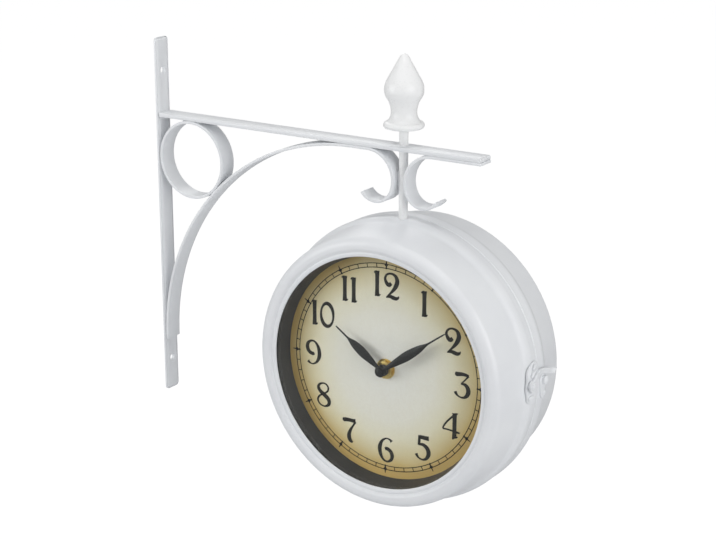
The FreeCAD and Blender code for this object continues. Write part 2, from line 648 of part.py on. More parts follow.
def make_hinge_leaf(rear):
    """A leaf that hugs the drum, with its knuckles. The rear leaf has the middle knuckle."""
    sign = 1 if rear else -1
    axis_x = -(DRUM_RADIUS + HINGE_AXIS_LIFT)
    third = HINGE_HEIGHT / 3
    low, high = sorted((sign * KNUCKLE_GAP, sign * HINGE_LEAF_LENGTH))
    inner, outer = side_span()
    window = box(V(-outer, low, -HINGE_HEIGHT / 2), V(-inner, high, HINGE_HEIGHT / 2))
    leaf = outer_skin(LEAF_THICKNESS, rear).common(window)
    spans = [(-0.5, 0.5)] if rear else [(-1.5, -0.5), (0.5, 1.5)]
    knuckles = []
    for start, end in spans:
        bottom = start * third + (0 if start == -1.5 else KNUCKLE_GAP / 2)
        top = end * third - (0 if end == 1.5 else KNUCKLE_GAP / 2)
        near, far = sorted((sign * KNUCKLE_GAP, sign * DRUM_LENGTH))
        knuckles.append(rod(KNUCKLE_RADIUS, V(axis_x, 0, bottom), V(axis_x, 0, top)))
        wing = V(axis_x + KNUCKLE_RADIUS - LEAF_THICKNESS, near, bottom)
        knuckles.append(box(wing, V(-SEAM_RADIUS, far, top)))
    leaf = leaf.multiFuse(knuckles).cut(both_halves(0))
    pin_hole = HINGE_PIN_RADIUS + (PIN_GAP if rear else 0)
    leaf = leaf.cut(rod(pin_hole, V(axis_x, 0, -HINGE_HEIGHT), V(axis_x, 0, HINGE_HEIGHT)))
    return leaf.cut(Part.Compound([across_side(-1, RIVET_RADIUS, place) for place in hinge_rivets(sign)]))


def make_hinge_pin():
    """Pin through the knuckles, with a flat head at each end."""
    axis_x = -(DRUM_RADIUS + HINGE_AXIS_LIFT)
    half = HINGE_HEIGHT / 2
    pin = rod(HINGE_PIN_RADIUS, V(axis_x, 0, -half), V(axis_x, 0, half))
    heads = [rod(PIN_HEAD_RADIUS, V(axis_x, 0, sign * half), V(axis_x, 0, sign * (half + LEAF_THICKNESS)))
             for sign in (-1, 1)]
    return pin.multiFuse(heads)


def lobed_outline(lobes):
    """A prism across the case's side: round lobes, each (place, radius), joined by their outer tangents."""
    inner, outer = side_span()
    low, depth = V(inner, 0, 0), V(outer - inner, 0, 0)
    pieces = []
    for (y, z), radius in lobes:
        pieces.append(rod(radius, low + V(0, y, z), low + V(0, y, z) + depth))
    for (first, first_radius), (second, second_radius) in zip(lobes, lobes[1:]):
        a, b = low + V(0, *first), low + V(0, *second)
        along = b - a
        tilt = math.acos((first_radius - second_radius) / along.Length)
        heading = math.atan2(along.z, along.y)
        corners = []
        for side in (1, -1):
            out = V(0, math.cos(heading + side * tilt), math.sin(heading + side * tilt))
            pair = [a + out * first_radius, b + out * second_radius]
            corners += pair if side == 1 else pair[::-1]
        pieces.append(polygon(corners).extrude(depth))
    return pieces[0].multiFuse(pieces[1:])


def make_latch_plate():
    """Lobed plate on the front shell that carries the hook."""
    outline = lobed_outline([(PLATE_TOP, PLATE_LOBE_RADIUS), (PLATE_MIDDLE, PLATE_LOBE_RADIUS),
                             (PLATE_FOOT, PLATE_FOOT_RADIUS)])
    plate = outer_skin(LEAF_THICKNESS, False).common(outline)
    holes = [across_side(1, RIVET_RADIUS, place) for place in LATCH_RIVETS]
    return plate.cut(Part.Compound(holes + [across_side(1, HOOK_PIVOT_RADIUS, HOOK_PIVOT)]))


def make_catch_plate():
    """Plate on the rear shell under the stud."""
    plate = outer_skin(LEAF_THICKNESS, True).common(
        lobed_outline([(STUD, CATCH_LOBE_RADIUS), (CATCH_RIVET, CATCH_LOBE_RADIUS)]))
    return plate.cut(Part.Compound([across_side(1, RIVET_RADIUS, CATCH_RIVET),
                                    across_side(1, HOOK_PIVOT_RADIUS, STUD)]))


def hook_floor():
    """Distance of the hook's inner face from the case's axis."""
    return DRUM_RADIUS + LEAF_THICKNESS + HOOK_LIFT


def hook_top():
    """Height of the middle of the hook at its top, so that it clears the stud."""
    fall = HOOK_SLOPE_RADIUS * (1 - math.cos(math.radians(HOOK_SLOPE)))
    lowest = STUD[1] + STUD_RADIUS + STUD_GAP + HOOK_WIDTH / 2 / math.cos(math.radians(HOOK_SLOPE))
    return lowest + fall


def make_latch_hook():
    """Swinging hook: an eye on the pivot, an arm that bends over the stud, and a turned-out thumb end."""
    floor = hook_floor()
    half = HOOK_WIDTH / 2
    through = V(HOOK_THICKNESS, 0, 0)

    def ring_part(centre, radius, start, end):
        """Part of a flat ring of the hook's width in the plane of the case's side."""
        def at(r, angle):
            a = math.radians(angle)
            return centre + V(0, r * math.cos(a), r * math.sin(a))
        angles = [start, (start + end) / 2, end]
        outer = [at(radius + half, angle) for angle in angles]
        inner = [at(radius - half, angle) for angle in reversed(angles)]
        edges = [Part.Arc(*outer).toShape(), Part.makeLine(outer[-1], inner[0]),
                 Part.Arc(*inner).toShape(), Part.makeLine(inner[-1], outer[0])]
        return Part.Face(Part.Wire(edges)).extrude(through)

    pivot = V(floor, *HOOK_PIVOT)
    bend_centre = V(floor, HOOK_PIVOT[0] + HOOK_BEND_RADIUS, hook_top() - HOOK_BEND_RADIUS)
    slope_centre = V(floor, bend_centre.y, hook_top() - HOOK_SLOPE_RADIUS)
    bend = ring_part(bend_centre, HOOK_BEND_RADIUS, 2 * QUARTER_TURN, QUARTER_TURN)
    slope = ring_part(slope_centre, HOOK_SLOPE_RADIUS, QUARTER_TURN, QUARTER_TURN - HOOK_SLOPE)
    stem_low, stem_high = sorted((pivot.z, bend_centre.z))
    stem = box(V(floor, pivot.y - half, stem_low), V(floor + HOOK_THICKNESS, pivot.y + half, stem_high))
    fall = math.radians(HOOK_SLOPE)
    up = V(0, math.sin(fall), math.cos(fall))
    tip = slope_centre + up * HOOK_SLOPE_RADIUS
    edge = up * half
    section = polygon([tip + edge, tip + edge + through, tip - edge + through, tip - edge])
    thumb = section.revolve(tip + through + V(THUMB_BEND_RADIUS, 0, 0), up, -THUMB_BEND)
    eye = rod(HOOK_EYE_RADIUS, pivot, pivot + through)
    hook = eye.multiFuse([stem, bend, slope, thumb]).removeSplitter()
    return hook.cut(across_side(1, HOOK_PIVOT_RADIUS + HOOK_PIVOT_GAP, HOOK_PIVOT))


def make_pivot_rivet(plated, inner):
    """Shouldered rivet that the hook swings on."""
    wall, top = side_surface(HOOK_PIVOT, -SHELL_WALL), hook_floor() + HOOK_THICKNESS + HOOK_LIFT
    shank = side_bar(1, HOOK_PIVOT_RADIUS, HOOK_PIVOT, wall - RIVET_HEAD_HEIGHT, top)
    collar = side_bar(1, RIVET_HEAD_RADIUS, HOOK_PIVOT, wall, hook_floor() - HOOK_LIFT / 2).cut(plated)
    return shank.multiFuse([collar, dome(1, RIVET_HEAD_RADIUS, HOOK_PIVOT, top),
                            rivet_tail(1, RIVET_HEAD_RADIUS, HOOK_PIVOT, inner)])


def make_stud(plated, inner):
    """Headed stud on the rear shell that the hook reaches over."""
    wall, top = side_surface(STUD, -SHELL_WALL), hook_floor() + HOOK_THICKNESS
    shank = side_bar(1, HOOK_PIVOT_RADIUS, STUD, wall - RIVET_HEAD_HEIGHT, top)
    post = side_bar(1, STUD_RADIUS, STUD, wall, top).cut(plated)
    return shank.multiFuse([post, dome(1, STUD_RADIUS, STUD, top),
                            rivet_tail(1, STUD_TAIL_RADIUS, STUD, inner)])


def make_front_rivets():
    """Hinge and latch rivets of the front shell, and the hook's pivot."""
    plated, inner = both_halves(LEAF_THICKNESS), both_halves(-SHELL_WALL)
    rivets = [rivet(-1, place, plated, inner) for place in hinge_rivets(-1)]
    rivets += [rivet(1, place, plated, inner) for place in LATCH_RIVETS]
    return Part.Compound(rivets + [make_pivot_rivet(plated, inner)])


def make_rear_rivets():
    """Hinge and catch rivets of the rear shell, and the stud."""
    plated, inner = both_halves(LEAF_THICKNESS), both_halves(-SHELL_WALL)
    rivets = [rivet(-1, place, plated, inner) for place in hinge_rivets(1)]
    return Part.Compound(rivets + [rivet(1, CATCH_RIVET, plated, inner), make_stud(plated, inner)])


# ---- glass, dial and what holds them ------------------------------------------------------------
def make_glass():
    """Flat glass behind the bezel's lip."""
    return disc(INSERT_RADIUS, glass_seat() - GLASS_THICKNESS, glass_seat())


def make_spacer_ring():
    """Channel section ring between glass and dial, the dark band that shows inside the bezel."""
    top = glass_seat() - GLASS_THICKNESS
    return revolve_profile([(SPACER_MOUTH_RADIUS, top), (INSERT_RADIUS, top),
                            (INSERT_RADIUS, top - SPACER_WALL),
                            (SPACER_MOUTH_RADIUS + SPACER_WALL, top - SPACER_WALL),
                            (SPACER_DIAL_RADIUS + SPACER_WALL, DIAL_FACE + SPACER_WALL),
                            (INSERT_RADIUS, DIAL_FACE + SPACER_WALL), (INSERT_RADIUS, DIAL_FACE),
                            (SPACER_DIAL_RADIUS, DIAL_FACE)])


def make_dial():
    """Printed metal dial with the hole for the movement's bush."""
    return tube(INSERT_RADIUS, DIAL_HOLE_RADIUS, DIAL_BACK, DIAL_FACE)


def make_dial_clips():
    """Bent clips welded inside the shell that press the dial against its spacer ring."""
    half = CLIP_WIDTH / 2
    inner_skin = case_body(-SHELL_WALL).cut(case_body(-SHELL_WALL - CLIP_THICKNESS))
    foot_start = LIP_LENGTH + CLIP_FOOT_GAP
    window = box(V(-half, foot_start, NECK_RADIUS), V(half, foot_start + CLIP_FOOT_LENGTH, DRUM_RADIUS))
    foot = inner_skin.common(window)
    leg_out = INSERT_RADIUS - FIT_GAP
    leg = box(V(-half, foot_start, leg_out - CLIP_THICKNESS), V(half, DIAL_BACK, leg_out))
    finger = box(V(-half, DIAL_BACK - CLIP_THICKNESS, leg_out - CLIP_FINGER), V(half, DIAL_BACK, leg_out))
    bridge_top = DRUM_RADIUS - SHELL_WALL - CLIP_THICKNESS / 2
    bridge = box(V(-half, foot_start, leg_out - CLIP_THICKNESS),
                 V(half, foot_start + CLIP_THICKNESS, bridge_top))
    clip = foot.multiFuse([leg, finger, bridge]).removeSplitter()
    clips = []
    for i in range(CLIP_COUNT):
        turned = clip.copy()
        turned.rotate(ORIGIN, Y_AXIS, 360.0 / CLIP_COUNT * (i + 0.5))
        clips.append(turned)
    return Part.Compound(clips)


# ---- clock movement -----------------------------------------------------------------------------
def battery_height():
    """Height of the battery's axis below the hands' axis, as a negative number."""
    return -MOVEMENT_SIZE / 2 + MOVEMENT_WALL + BATTERY_GAP + BATTERY_RADIUS


def partition_top():
    """Top of the wall between the battery and the wheels."""
    return battery_height() + BATTERY_RADIUS + BATTERY_GAP + MOVEMENT_WALL


def make_movement_housing():
    """Moulded tub with the threaded bush, a partition and the battery bay, open to the back."""
    half = MOVEMENT_SIZE / 2
    tub = box(V(-half, MOVEMENT_BACK, -half), V(half, DIAL_BACK, half))
    corners = [edge for edge in tub.Edges if abs(edge.Vertexes[0].Y - edge.Vertexes[-1].Y) > MOVEMENT_WALL]
    tub = tub.makeFillet(MOVEMENT_CORNER, corners)
    inside = half - MOVEMENT_WALL
    floor = DIAL_BACK - MOVEMENT_FACE
    wheels = box(V(-inside, MOVEMENT_BACK - PAST, partition_top()), V(inside, floor, inside))
    battery = box(V(-inside, MOVEMENT_BACK - PAST, -inside),
                  V(inside, DIAL_BACK - MOVEMENT_FACE / 2, partition_top() - MOVEMENT_WALL))
    tub = tub.cut(wheels).cut(battery)
    tub = tub.fuse(disc(BUSH_RADIUS, DIAL_BACK, DIAL_FACE + BUSH_LENGTH))
    tub = tub.cut(disc(PIPE_RADIUS + RUNNING_GAP, floor - PAST, DIAL_FACE + BUSH_LENGTH + PAST))
    stub = disc(MOTION_STUD_RADIUS, floor - wheel_levels()["pivot_reach"], floor, x=WHEEL_CENTRES)
    return tub.fuse(stub)


def make_movement_cover():
    """Snap-in back of the wheel bay, with the arbor's bearing and the hole for the setting shaft."""
    inside = MOVEMENT_SIZE / 2 - MOVEMENT_WALL - COVER_GAP
    top = MOVEMENT_BACK + MOVEMENT_WALL
    plate = box(V(-inside, MOVEMENT_BACK, partition_top() + COVER_GAP), V(inside, top, inside))
    plate = plate.fuse(disc(ARBOR_RADIUS + BEARING_WALL, top, top + BEARING_LENGTH))
    plate = plate.cut(disc(ARBOR_RADIUS + RUNNING_GAP, MOVEMENT_BACK + BEARING_FLOOR, DIAL_BACK))
    knob_x, knob_z = knob_axis()
    return plate.cut(disc(KNOB_SHAFT_RADIUS + RUNNING_GAP, MOVEMENT_BACK - PAST, top + PAST, knob_x, knob_z))


def wheel_levels():
    """Depths of the motion work's wheels, from the housing's floor inwards."""
    floor = DIAL_BACK - MOVEMENT_FACE
    hour_top = floor - WHEEL_GAP
    hour_bottom = hour_top - WHEEL_THICKNESS
    motion_top = hour_bottom - WHEEL_GAP
    motion_bottom = motion_top - WHEEL_THICKNESS
    return {"hour_top": hour_top, "hour_bottom": hour_bottom, "motion_top": motion_top,
            "motion_bottom": motion_bottom, "pivot_reach": floor - motion_bottom + MOTION_STUD_END}


def gear_face(teeth, module, depth, phase):
    """Outline of a wheel with straight-flanked teeth; phase turns it by a share of one tooth."""
    pitch_radius = module * teeth / 2
    tip, root = pitch_radius + TOOTH_TIP * module, pitch_radius - TOOTH_ROOT * module
    corners = ((root, -TOOTH_ROOT_SHARE), (tip, -TOOTH_TIP_SHARE),
               (tip, TOOTH_TIP_SHARE), (root, TOOTH_ROOT_SHARE))
    step = 2 * math.pi / teeth
    points = []
    for i in range(teeth):
        middle = (i + phase) * step
        for radius, share in corners:
            a = middle + share * step
            points.append(V(radius * math.cos(a), depth, radius * math.sin(a)))
    return polygon(points)


def gear(teeth, module, low, high, phase):
    """A toothed wheel about the Y axis."""
    return gear_face(teeth, module, low, phase).extrude(V(0, high - low, 0))


def knob_axis():
    """Where the setting shaft stands: beyond the motion wheel, at its mesh distance."""
    angle = math.radians(KNOB_ANGLE)
    return WHEEL_CENTRES * (1 + math.cos(angle)), WHEEL_CENTRES * math.sin(angle)


def make_hour_wheel():
    """Hour wheel and its pipe, which carries the hour hand."""
    levels = wheel_levels()
    wheel = gear(HOUR_TEETH, MOTION_MODULE, levels["hour_bottom"], levels["hour_top"], 0.5)
    pipe = disc(PIPE_RADIUS, levels["hour_bottom"], DIAL_FACE + PIPE_LENGTH)
    return wheel.fuse(pipe).cut(disc(ARBOR_RADIUS + RUNNING_GAP, levels["hour_bottom"] - PAST, HALF_DEPTH))


def make_minute_arbor():
    """Minute arbor with its cannon pinion, which carries the minute hand."""
    levels = wheel_levels()
    pinion = gear(CANNON_TEETH, CANNON_MODULE, levels["motion_bottom"], levels["motion_top"], 0.5)
    shaft = disc(ARBOR_RADIUS, MOVEMENT_BACK + BEARING_FLOOR + ARBOR_FLOAT, DIAL_FACE + ARBOR_LENGTH)
    return shaft.fuse(pinion)


def make_motion_wheel():
    """Motion wheel and pinion that turn the hour wheel at a twelfth of the minute arbor."""
    levels = wheel_levels()
    wheel = gear(MOTION_TEETH, CANNON_MODULE, levels["motion_bottom"], levels["motion_top"], 0.0)
    pinion = gear(MOTION_PINION_TEETH, MOTION_MODULE, levels["motion_top"], levels["hour_top"], 0.0)
    bore = disc(MOTION_STUD_RADIUS + RUNNING_GAP, levels["motion_bottom"] - PAST, levels["hour_top"] + PAST)
    both = wheel.fuse(pinion).cut(bore)
    both.rotate(ORIGIN, Y_AXIS, 180)
    both.translate(V(WHEEL_CENTRES, 0, 0))
    return both


def make_setting_knob():
    """Setting shaft with its pinion and the fluted knob behind the cover."""
    levels = wheel_levels()
    pinion = gear(CANNON_TEETH, CANNON_MODULE, levels["motion_bottom"], levels["motion_top"], 0.5)
    pinion.rotate(ORIGIN, Y_AXIS, -KNOB_ANGLE)
    top = MOVEMENT_BACK - KNOB_GAP
    shaft = disc(KNOB_SHAFT_RADIUS, top - KNOB_GAP, levels["motion_top"])
    knob = disc(KNOB_RADIUS, top - KNOB_HEIGHT, top)
    flutes = []
    for i in range(KNOB_FLUTES):
        centre = polar(ORIGIN, KNOB_RADIUS + FLUTE_SETBACK, 360.0 / KNOB_FLUTES * i)
        flutes.append(disc(FLUTE_RADIUS, top - KNOB_HEIGHT - PAST, top + PAST, centre.x, centre.z))
    knob = knob.cut(Part.Compound(flutes))
    whole = pinion.multiFuse([shaft, knob])
    knob_x, knob_z = knob_axis()
    whole.translate(V(knob_x, 0, knob_z))
    return whole


def make_dial_nut():
    """Hexagonal brass nut that clamps the movement to the dial."""
    base = DIAL_FACE + DIAL_WASHER_THICKNESS
    nut = hexagon(DIAL_NUT_ACROSS_FLATS, DIAL_NUT_THICKNESS, V(0, base, 0), Y_AXIS)
    return nut.cut(disc(BUSH_RADIUS, base - PAST, base + DIAL_NUT_THICKNESS + PAST))


def make_dial_washer():
    """Brass washer under the dial nut."""
    return tube(DIAL_WASHER_RADIUS, BUSH_RADIUS, DIAL_FACE, DIAL_FACE + DIAL_WASHER_THICKNESS)


def hand_outline(length, width, depth):
    """One side and then the other of a leaf-shaped hand that points to +Z."""
    half = width / 2
    right = [V(share * half, depth, part * length) for part, share in HAND_LEAF]
    left = [V(-p.x, p.y, p.z) for p in right]
    curves = []
    for side in (right, left):
        curve = Part.BSplineCurve()
        curve.interpolate(side + [V(0, depth, length)])
        curves.append(curve.toShape())
    base = Part.makeLine(right[0], left[0])
    return Part.Face(Part.Wire([curves[0], curves[1], base]))


def make_hand(length, width, height, bore, angle):
    """Stamped hand on its boss, turned clockwise as the dial is read."""
    low = DIAL_FACE + height
    blade = hand_outline(length, width, low).extrude(V(0, HAND_THICKNESS, 0))
    boss = disc(HAND_BOSS_RADIUS, low, low + HAND_THICKNESS)
    hand = blade.fuse(boss).cut(disc(bore, low - PAST, low + HAND_THICKNESS + PAST))
    hand.rotate(ORIGIN, Y_AXIS, -angle)
    return hand


def make_cap_nut():
    """Small round nut with a domed end that holds the minute hand."""
    low, high = DIAL_FACE + MINUTE_HAND_HEIGHT + HAND_THICKNESS, DIAL_FACE + CAP_TOP
    ball_radius = (CAP_RADIUS ** 2 + CAP_DOME ** 2) / (2 * CAP_DOME)
    ball = Part.makeSphere(ball_radius, V(0, high - ball_radius, 0))
    dome = ball.common(disc(CAP_RADIUS, high - CAP_DOME, high + PAST))
    socket = disc(ARBOR_RADIUS, low - PAST, DIAL_FACE + ARBOR_LENGTH)
    return disc(CAP_RADIUS, low, high - CAP_DOME).fuse(dome).cut(socket)


def battery_ends():
    """The battery's ends along X."""
    return -BATTERY_LENGTH / 2, BATTERY_LENGTH / 2


def battery_depth():
    """Depth of the battery's axis."""
    return DIAL_BACK - MOVEMENT_FACE / 2 - BATTERY_GAP - BATTERY_RADIUS


def make_battery():
    """AA cell with its positive nub."""
    low, high = battery_ends()
    axis = V(0, battery_depth(), battery_height())
    body = rod(BATTERY_RADIUS, axis + V(low, 0, 0), axis + V(high - BATTERY_NUB_LENGTH, 0, 0))
    nub = rod(BATTERY_NUB_RADIUS, axis + V(high - BATTERY_NUB_LENGTH, 0, 0), axis + V(high, 0, 0))
    return body.fuse(nub)


def make_contacts():
    """The two sprung contact plates at the battery's ends."""
    plates = []
    for end, sign in zip(battery_ends(), (-1, 1)):
        wall = sign * (MOVEMENT_SIZE / 2 - MOVEMENT_WALL)
        half = CONTACT_SIZE / 2
        low, high = sorted((wall, wall - sign * CONTACT_THICKNESS))
        centre = V(0, battery_depth(), battery_height())
        plate = box(centre + V(low, -half, -half), centre + V(high, half, half))
        face = wall - sign * CONTACT_THICKNESS
        bump = rod(BATTERY_NUB_RADIUS, centre + V(face, 0, 0), centre + V(end, 0, 0))
        plates.append(plate.fuse(bump))
    return Part.Compound(plates)


def make_coil():
    """Motor coil on its bobbin."""
    height = MOVEMENT_SIZE / 2 - MOVEMENT_WALL - COIL_GAP - COIL_RADIUS
    axis = V(-COIL_OFFSET - COIL_LENGTH / 2, MOVEMENT_BACK + MOVEMENT_DEPTH / 2, height)
    winding = rod(COIL_RADIUS, axis, axis + V(COIL_LENGTH, 0, 0))
    flanges = []
    for x in (-COIL_FLANGE_THICKNESS, COIL_LENGTH):
        ends = axis + V(x, 0, 0), axis + V(x + COIL_FLANGE_THICKNESS, 0, 0)
        flanges.append(rod(COIL_RADIUS + COIL_FLANGE_RIM, *ends))
    return winding.multiFuse(flanges)


def make_circuit_board():
    """Small circuit board beside the coil, with the oscillator's block."""
    inside = MOVEMENT_SIZE / 2 - MOVEMENT_WALL
    low = V(-inside, MOVEMENT_BACK + MOVEMENT_DEPTH / 2, partition_top() + BOARD_GAP)
    board = box(low, low + V(BOARD_WIDTH, BOARD_THICKNESS, BOARD_LENGTH))
    middle, chip_top = BOARD_WIDTH / 2, CHIP_PLACE + CHIP_SIZE
    chip = box(low + V(middle - CHIP_SIZE / 2, -CHIP_THICKNESS, CHIP_PLACE),
               low + V(middle + CHIP_SIZE / 2, 0, chip_top))
    crystal = rod(CRYSTAL_RADIUS, low + V(middle, -CRYSTAL_RADIUS, chip_top + CRYSTAL_GAP),
                  low + V(middle, -CRYSTAL_RADIUS, chip_top + CRYSTAL_GAP + CRYSTAL_LENGTH))
    return board.multiFuse([chip, crystal])


# ---- assembly -----------------------------------------------------------------------------------
def write_bracket():
    """The fixed bracket, rod and finial."""
    save(make_wall_bar(), "wall_bar")
    save(make_top_arm(), "top_arm")
    save(make_corner_ring(), "corner_ring")
    save(make_brace_scroll(), "brace_scroll")
    save(make_end_scroll(), "end_scroll")
    save(make_hanger_rod(), "hanger_rod")
    save(make_finial(), "finial")
    save(make_hanger_nuts(), "hanger_nuts")
    save(make_hanger_washer(), "hanger_washer")


def write_case():
    """Both half shells with their glass, dial and fastenings."""
    front = make_half_shell().fuse(make_seam_lip()).removeSplitter()
    rod_hole = rod(ROD_RADIUS + 2 * ROD_HOLE_GAP, V(0, SEAM_OFFSET, 0), V(0, SEAM_OFFSET, DRUM_RADIUS + PAST))
    front = place_front(front.cut(rod_hole))
    rear = place_rear(make_half_shell())
    front_holes = [across_side(-1, RIVET_RADIUS, place) for place in hinge_rivets(-1)]
    front_holes += [across_side(1, RIVET_RADIUS, place) for place in LATCH_RIVETS]
    front_holes.append(across_side(1, HOOK_PIVOT_RADIUS, HOOK_PIVOT))
    rear_holes = [across_side(-1, RIVET_RADIUS, place) for place in hinge_rivets(1)]
    rear_holes += [across_side(1, RIVET_RADIUS, CATCH_RIVET), across_side(1, HOOK_PIVOT_RADIUS, STUD)]
    front = front.cut(place_rear(Part.Compound(front_holes)))
    rear = rear.cut(place_rear(Part.Compound(rear_holes)))
    save(front, "front_shell")
    save(rear, "rear_shell")
    save(place_front(make_saddle()), "hanger_saddle")
    save(place_rear(make_hinge_leaf(False)), "front_hinge_leaf")
    save(place_rear(make_hinge_leaf(True)), "rear_hinge_leaf")
    save(place_rear(make_hinge_pin()), "hinge_pin")
    save(place_rear(make_latch_plate()), "latch_plate")
    save(place_rear(make_catch_plate()), "catch_plate")
    save(place_rear(make_latch_hook()), "latch_hook")
    save(place_rear(make_front_rivets()), "front_rivets")
    save(place_rear(make_rear_rivets()), "rear_rivets")


def write_side(side, place):
    """Glass, dial, movement and hands of one half."""
    minute_angle = REST_MINUTES * 6
    hour_angle = (10 + REST_MINUTES / 60) * 30
    pieces = {
        "glass": make_glass(), "spacer_ring": make_spacer_ring(), "dial": make_dial(),
        "dial_clips": make_dial_clips(), "movement_housing": make_movement_housing(),
        "movement_cover": make_movement_cover(), "dial_nut": make_dial_nut(),
        "dial_washer": make_dial_washer(),
        "battery": make_battery(), "contacts": make_contacts(), "coil": make_coil(),
        "circuit_board": make_circuit_board(), "hour_wheel": make_hour_wheel(),
        "minute_arbor": make_minute_arbor(), "motion_wheel": make_motion_wheel(),
        "setting_knob": make_setting_knob(), "cap_nut": make_cap_nut(),
        "hour_hand": make_hand(HOUR_HAND_LENGTH, HOUR_HAND_WIDTH, HOUR_HAND_HEIGHT, PIPE_RADIUS, hour_angle),
        "minute_hand": make_hand(MINUTE_HAND_LENGTH, MINUTE_HAND_WIDTH, MINUTE_HAND_HEIGHT, ARBOR_RADIUS,
                                 minute_angle),
    }
    for name, shape in pieces.items():
        save(place(shape), "%s_%s" % (side, name))


os.makedirs("parts", exist_ok=True)
write_bracket()
write_case()
write_side("front", place_front)
write_side("rear", place_rear)
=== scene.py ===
"""Double sided station clock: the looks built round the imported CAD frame.

The pressed case, the scrolled bracket, the turned finial, the dials with their printed numbers and the leaf-shaped
hands are modelled here in metres, each in the place that its CAD node holds. The origin is on the wall, midway
between the two screw holes; +X points away from the wall, +Z up, and the front dial faces -Y.
"""
from __future__ import annotations

import logging
import math
from dataclasses import dataclass
from enum import Enum
from typing import Any, Callable, Sequence

import bpy
from bpy.types import Material, Node, NodeSocket, NodeTree, Object
from mathutils import Matrix, Vector, noise

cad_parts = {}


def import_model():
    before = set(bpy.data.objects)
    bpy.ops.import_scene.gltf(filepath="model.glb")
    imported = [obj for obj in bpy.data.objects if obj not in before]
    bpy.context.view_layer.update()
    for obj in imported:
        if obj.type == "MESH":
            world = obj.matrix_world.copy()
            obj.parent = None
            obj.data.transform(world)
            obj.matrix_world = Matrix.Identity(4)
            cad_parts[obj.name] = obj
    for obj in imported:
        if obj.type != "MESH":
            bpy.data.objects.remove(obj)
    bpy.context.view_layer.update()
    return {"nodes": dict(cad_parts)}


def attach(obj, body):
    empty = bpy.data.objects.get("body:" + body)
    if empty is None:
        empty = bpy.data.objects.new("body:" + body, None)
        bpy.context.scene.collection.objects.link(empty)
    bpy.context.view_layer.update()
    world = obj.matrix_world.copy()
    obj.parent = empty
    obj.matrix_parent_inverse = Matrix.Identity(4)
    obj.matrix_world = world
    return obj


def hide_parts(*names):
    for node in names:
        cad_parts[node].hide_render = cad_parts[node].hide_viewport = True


LOG = logging.getLogger("station_clock")
MM = 0.001
Point2 = tuple[float, float]


# ---- small tools of the bench -------------------------------------------------------------------
def mm(x: float, y: float, z: float) -> Vector:
    """A point given in millimetres."""
    return Vector((x, y, z)) * MM


def to_linear(hex_colour: str) -> tuple[float, float, float, float]:
    """Turns an sRGB hex colour into the linear colour that a shader takes.

    Args:
        hex_colour: six hex digits, such as "E7E9EA".

    Returns:
        Linear red, green, blue and an alpha of 1.
    """
    channels = [int(hex_colour[i:i + 2], 16) / 255 for i in (0, 2, 4)]
    linear = [c / 12.92 if c <= 0.04045 else ((c + 0.055) / 1.055) ** 2.4 for c in channels]
    return (linear[0], linear[1], linear[2], 1.0)


def put_down() -> None:
    """Leaves edit mode and deselects everything."""
    if bpy.context.object and bpy.context.object.mode != "OBJECT":
        bpy.ops.object.mode_set(mode="OBJECT")
    bpy.ops.object.select_all(action="DESELECT")


def pick(piece: Object) -> None:
    """Makes one piece the only selected and the active one."""
    put_down()
    piece.select_set(True)
    bpy.context.view_layer.objects.active = piece


def edit(piece: Object) -> None:
    """Opens one piece in edit mode with all of it selected."""
    pick(piece)
    bpy.ops.object.mode_set(mode="EDIT")
    bpy.ops.mesh.select_all(action="SELECT")


def named(name: str) -> Object:
    """Names the active object and its mesh, and returns it."""
    piece = bpy.context.object
    piece.name = name
    piece.data.name = name
    return piece


def close_up(piece: Object) -> None:
    """Merges doubles and turns the faces outwards."""
    edit(piece)
    bpy.ops.mesh.remove_doubles(threshold=2e-6)
    bpy.ops.mesh.normals_make_consistent(inside=False)
    put_down()


def modify(piece: Object, kind: str, **settings: Any) -> None:
    """Adds a modifier and applies it.

    Args:
        piece: the object that gets it.
        kind: Blender's name for the modifier.
        settings: the modifier's values.
    """
    pick(piece)
    modifier = piece.modifiers.new(kind.title(), kind)
    for key, value in settings.items():
        setattr(modifier, key, value)
    bpy.ops.object.modifier_apply(modifier=modifier.name)


def soften(piece: Object, width: float, segments: int = 3, angle: float = 32.0) -> None:
    """Rounds the sharp edges of a piece and shades the rest smooth.

    Args:
        piece: the object to finish.
        width: the rounding in millimetres.
        segments: how many faces go round each edge.
        angle: edges sharper than this, in degrees, are rounded.
    """
    modify(piece, "BEVEL", width=width * MM, segments=segments, limit_method="ANGLE",
           angle_limit=math.radians(angle), harden_normals=False, use_clamp_overlap=True)
    smooth(piece)


def smooth(piece: Object, angle: float = 40.0) -> None:
    """Shades a piece smooth up to an angle in degrees."""
    pick(piece)
    bpy.ops.object.shade_smooth_by_angle(angle=math.radians(angle))
    put_down()


def apply_place(piece: Object) -> None:
    """Moves an object's place, turn and scale into its mesh."""
    pick(piece)
    bpy.ops.object.transform_apply(location=True, rotation=True, scale=True)
    put_down()


def join(pieces: Sequence[Object], name: str) -> Object:
    """Joins pieces into the first of them and names the result."""
    put_down()
    for piece in pieces:
        piece.select_set(True)
    bpy.context.view_layer.objects.active = pieces[0]
    bpy.ops.object.join()
    joined = named(name)
    put_down()
    return joined


def twin(piece: Object, name: str) -> Object:
    """A copy of a piece with a mesh of its own."""
    copy = piece.copy()
    copy.data = piece.data.copy()
    copy.name = name
    copy.data.name = name
    bpy.context.scene.collection.objects.link(copy)
    return copy


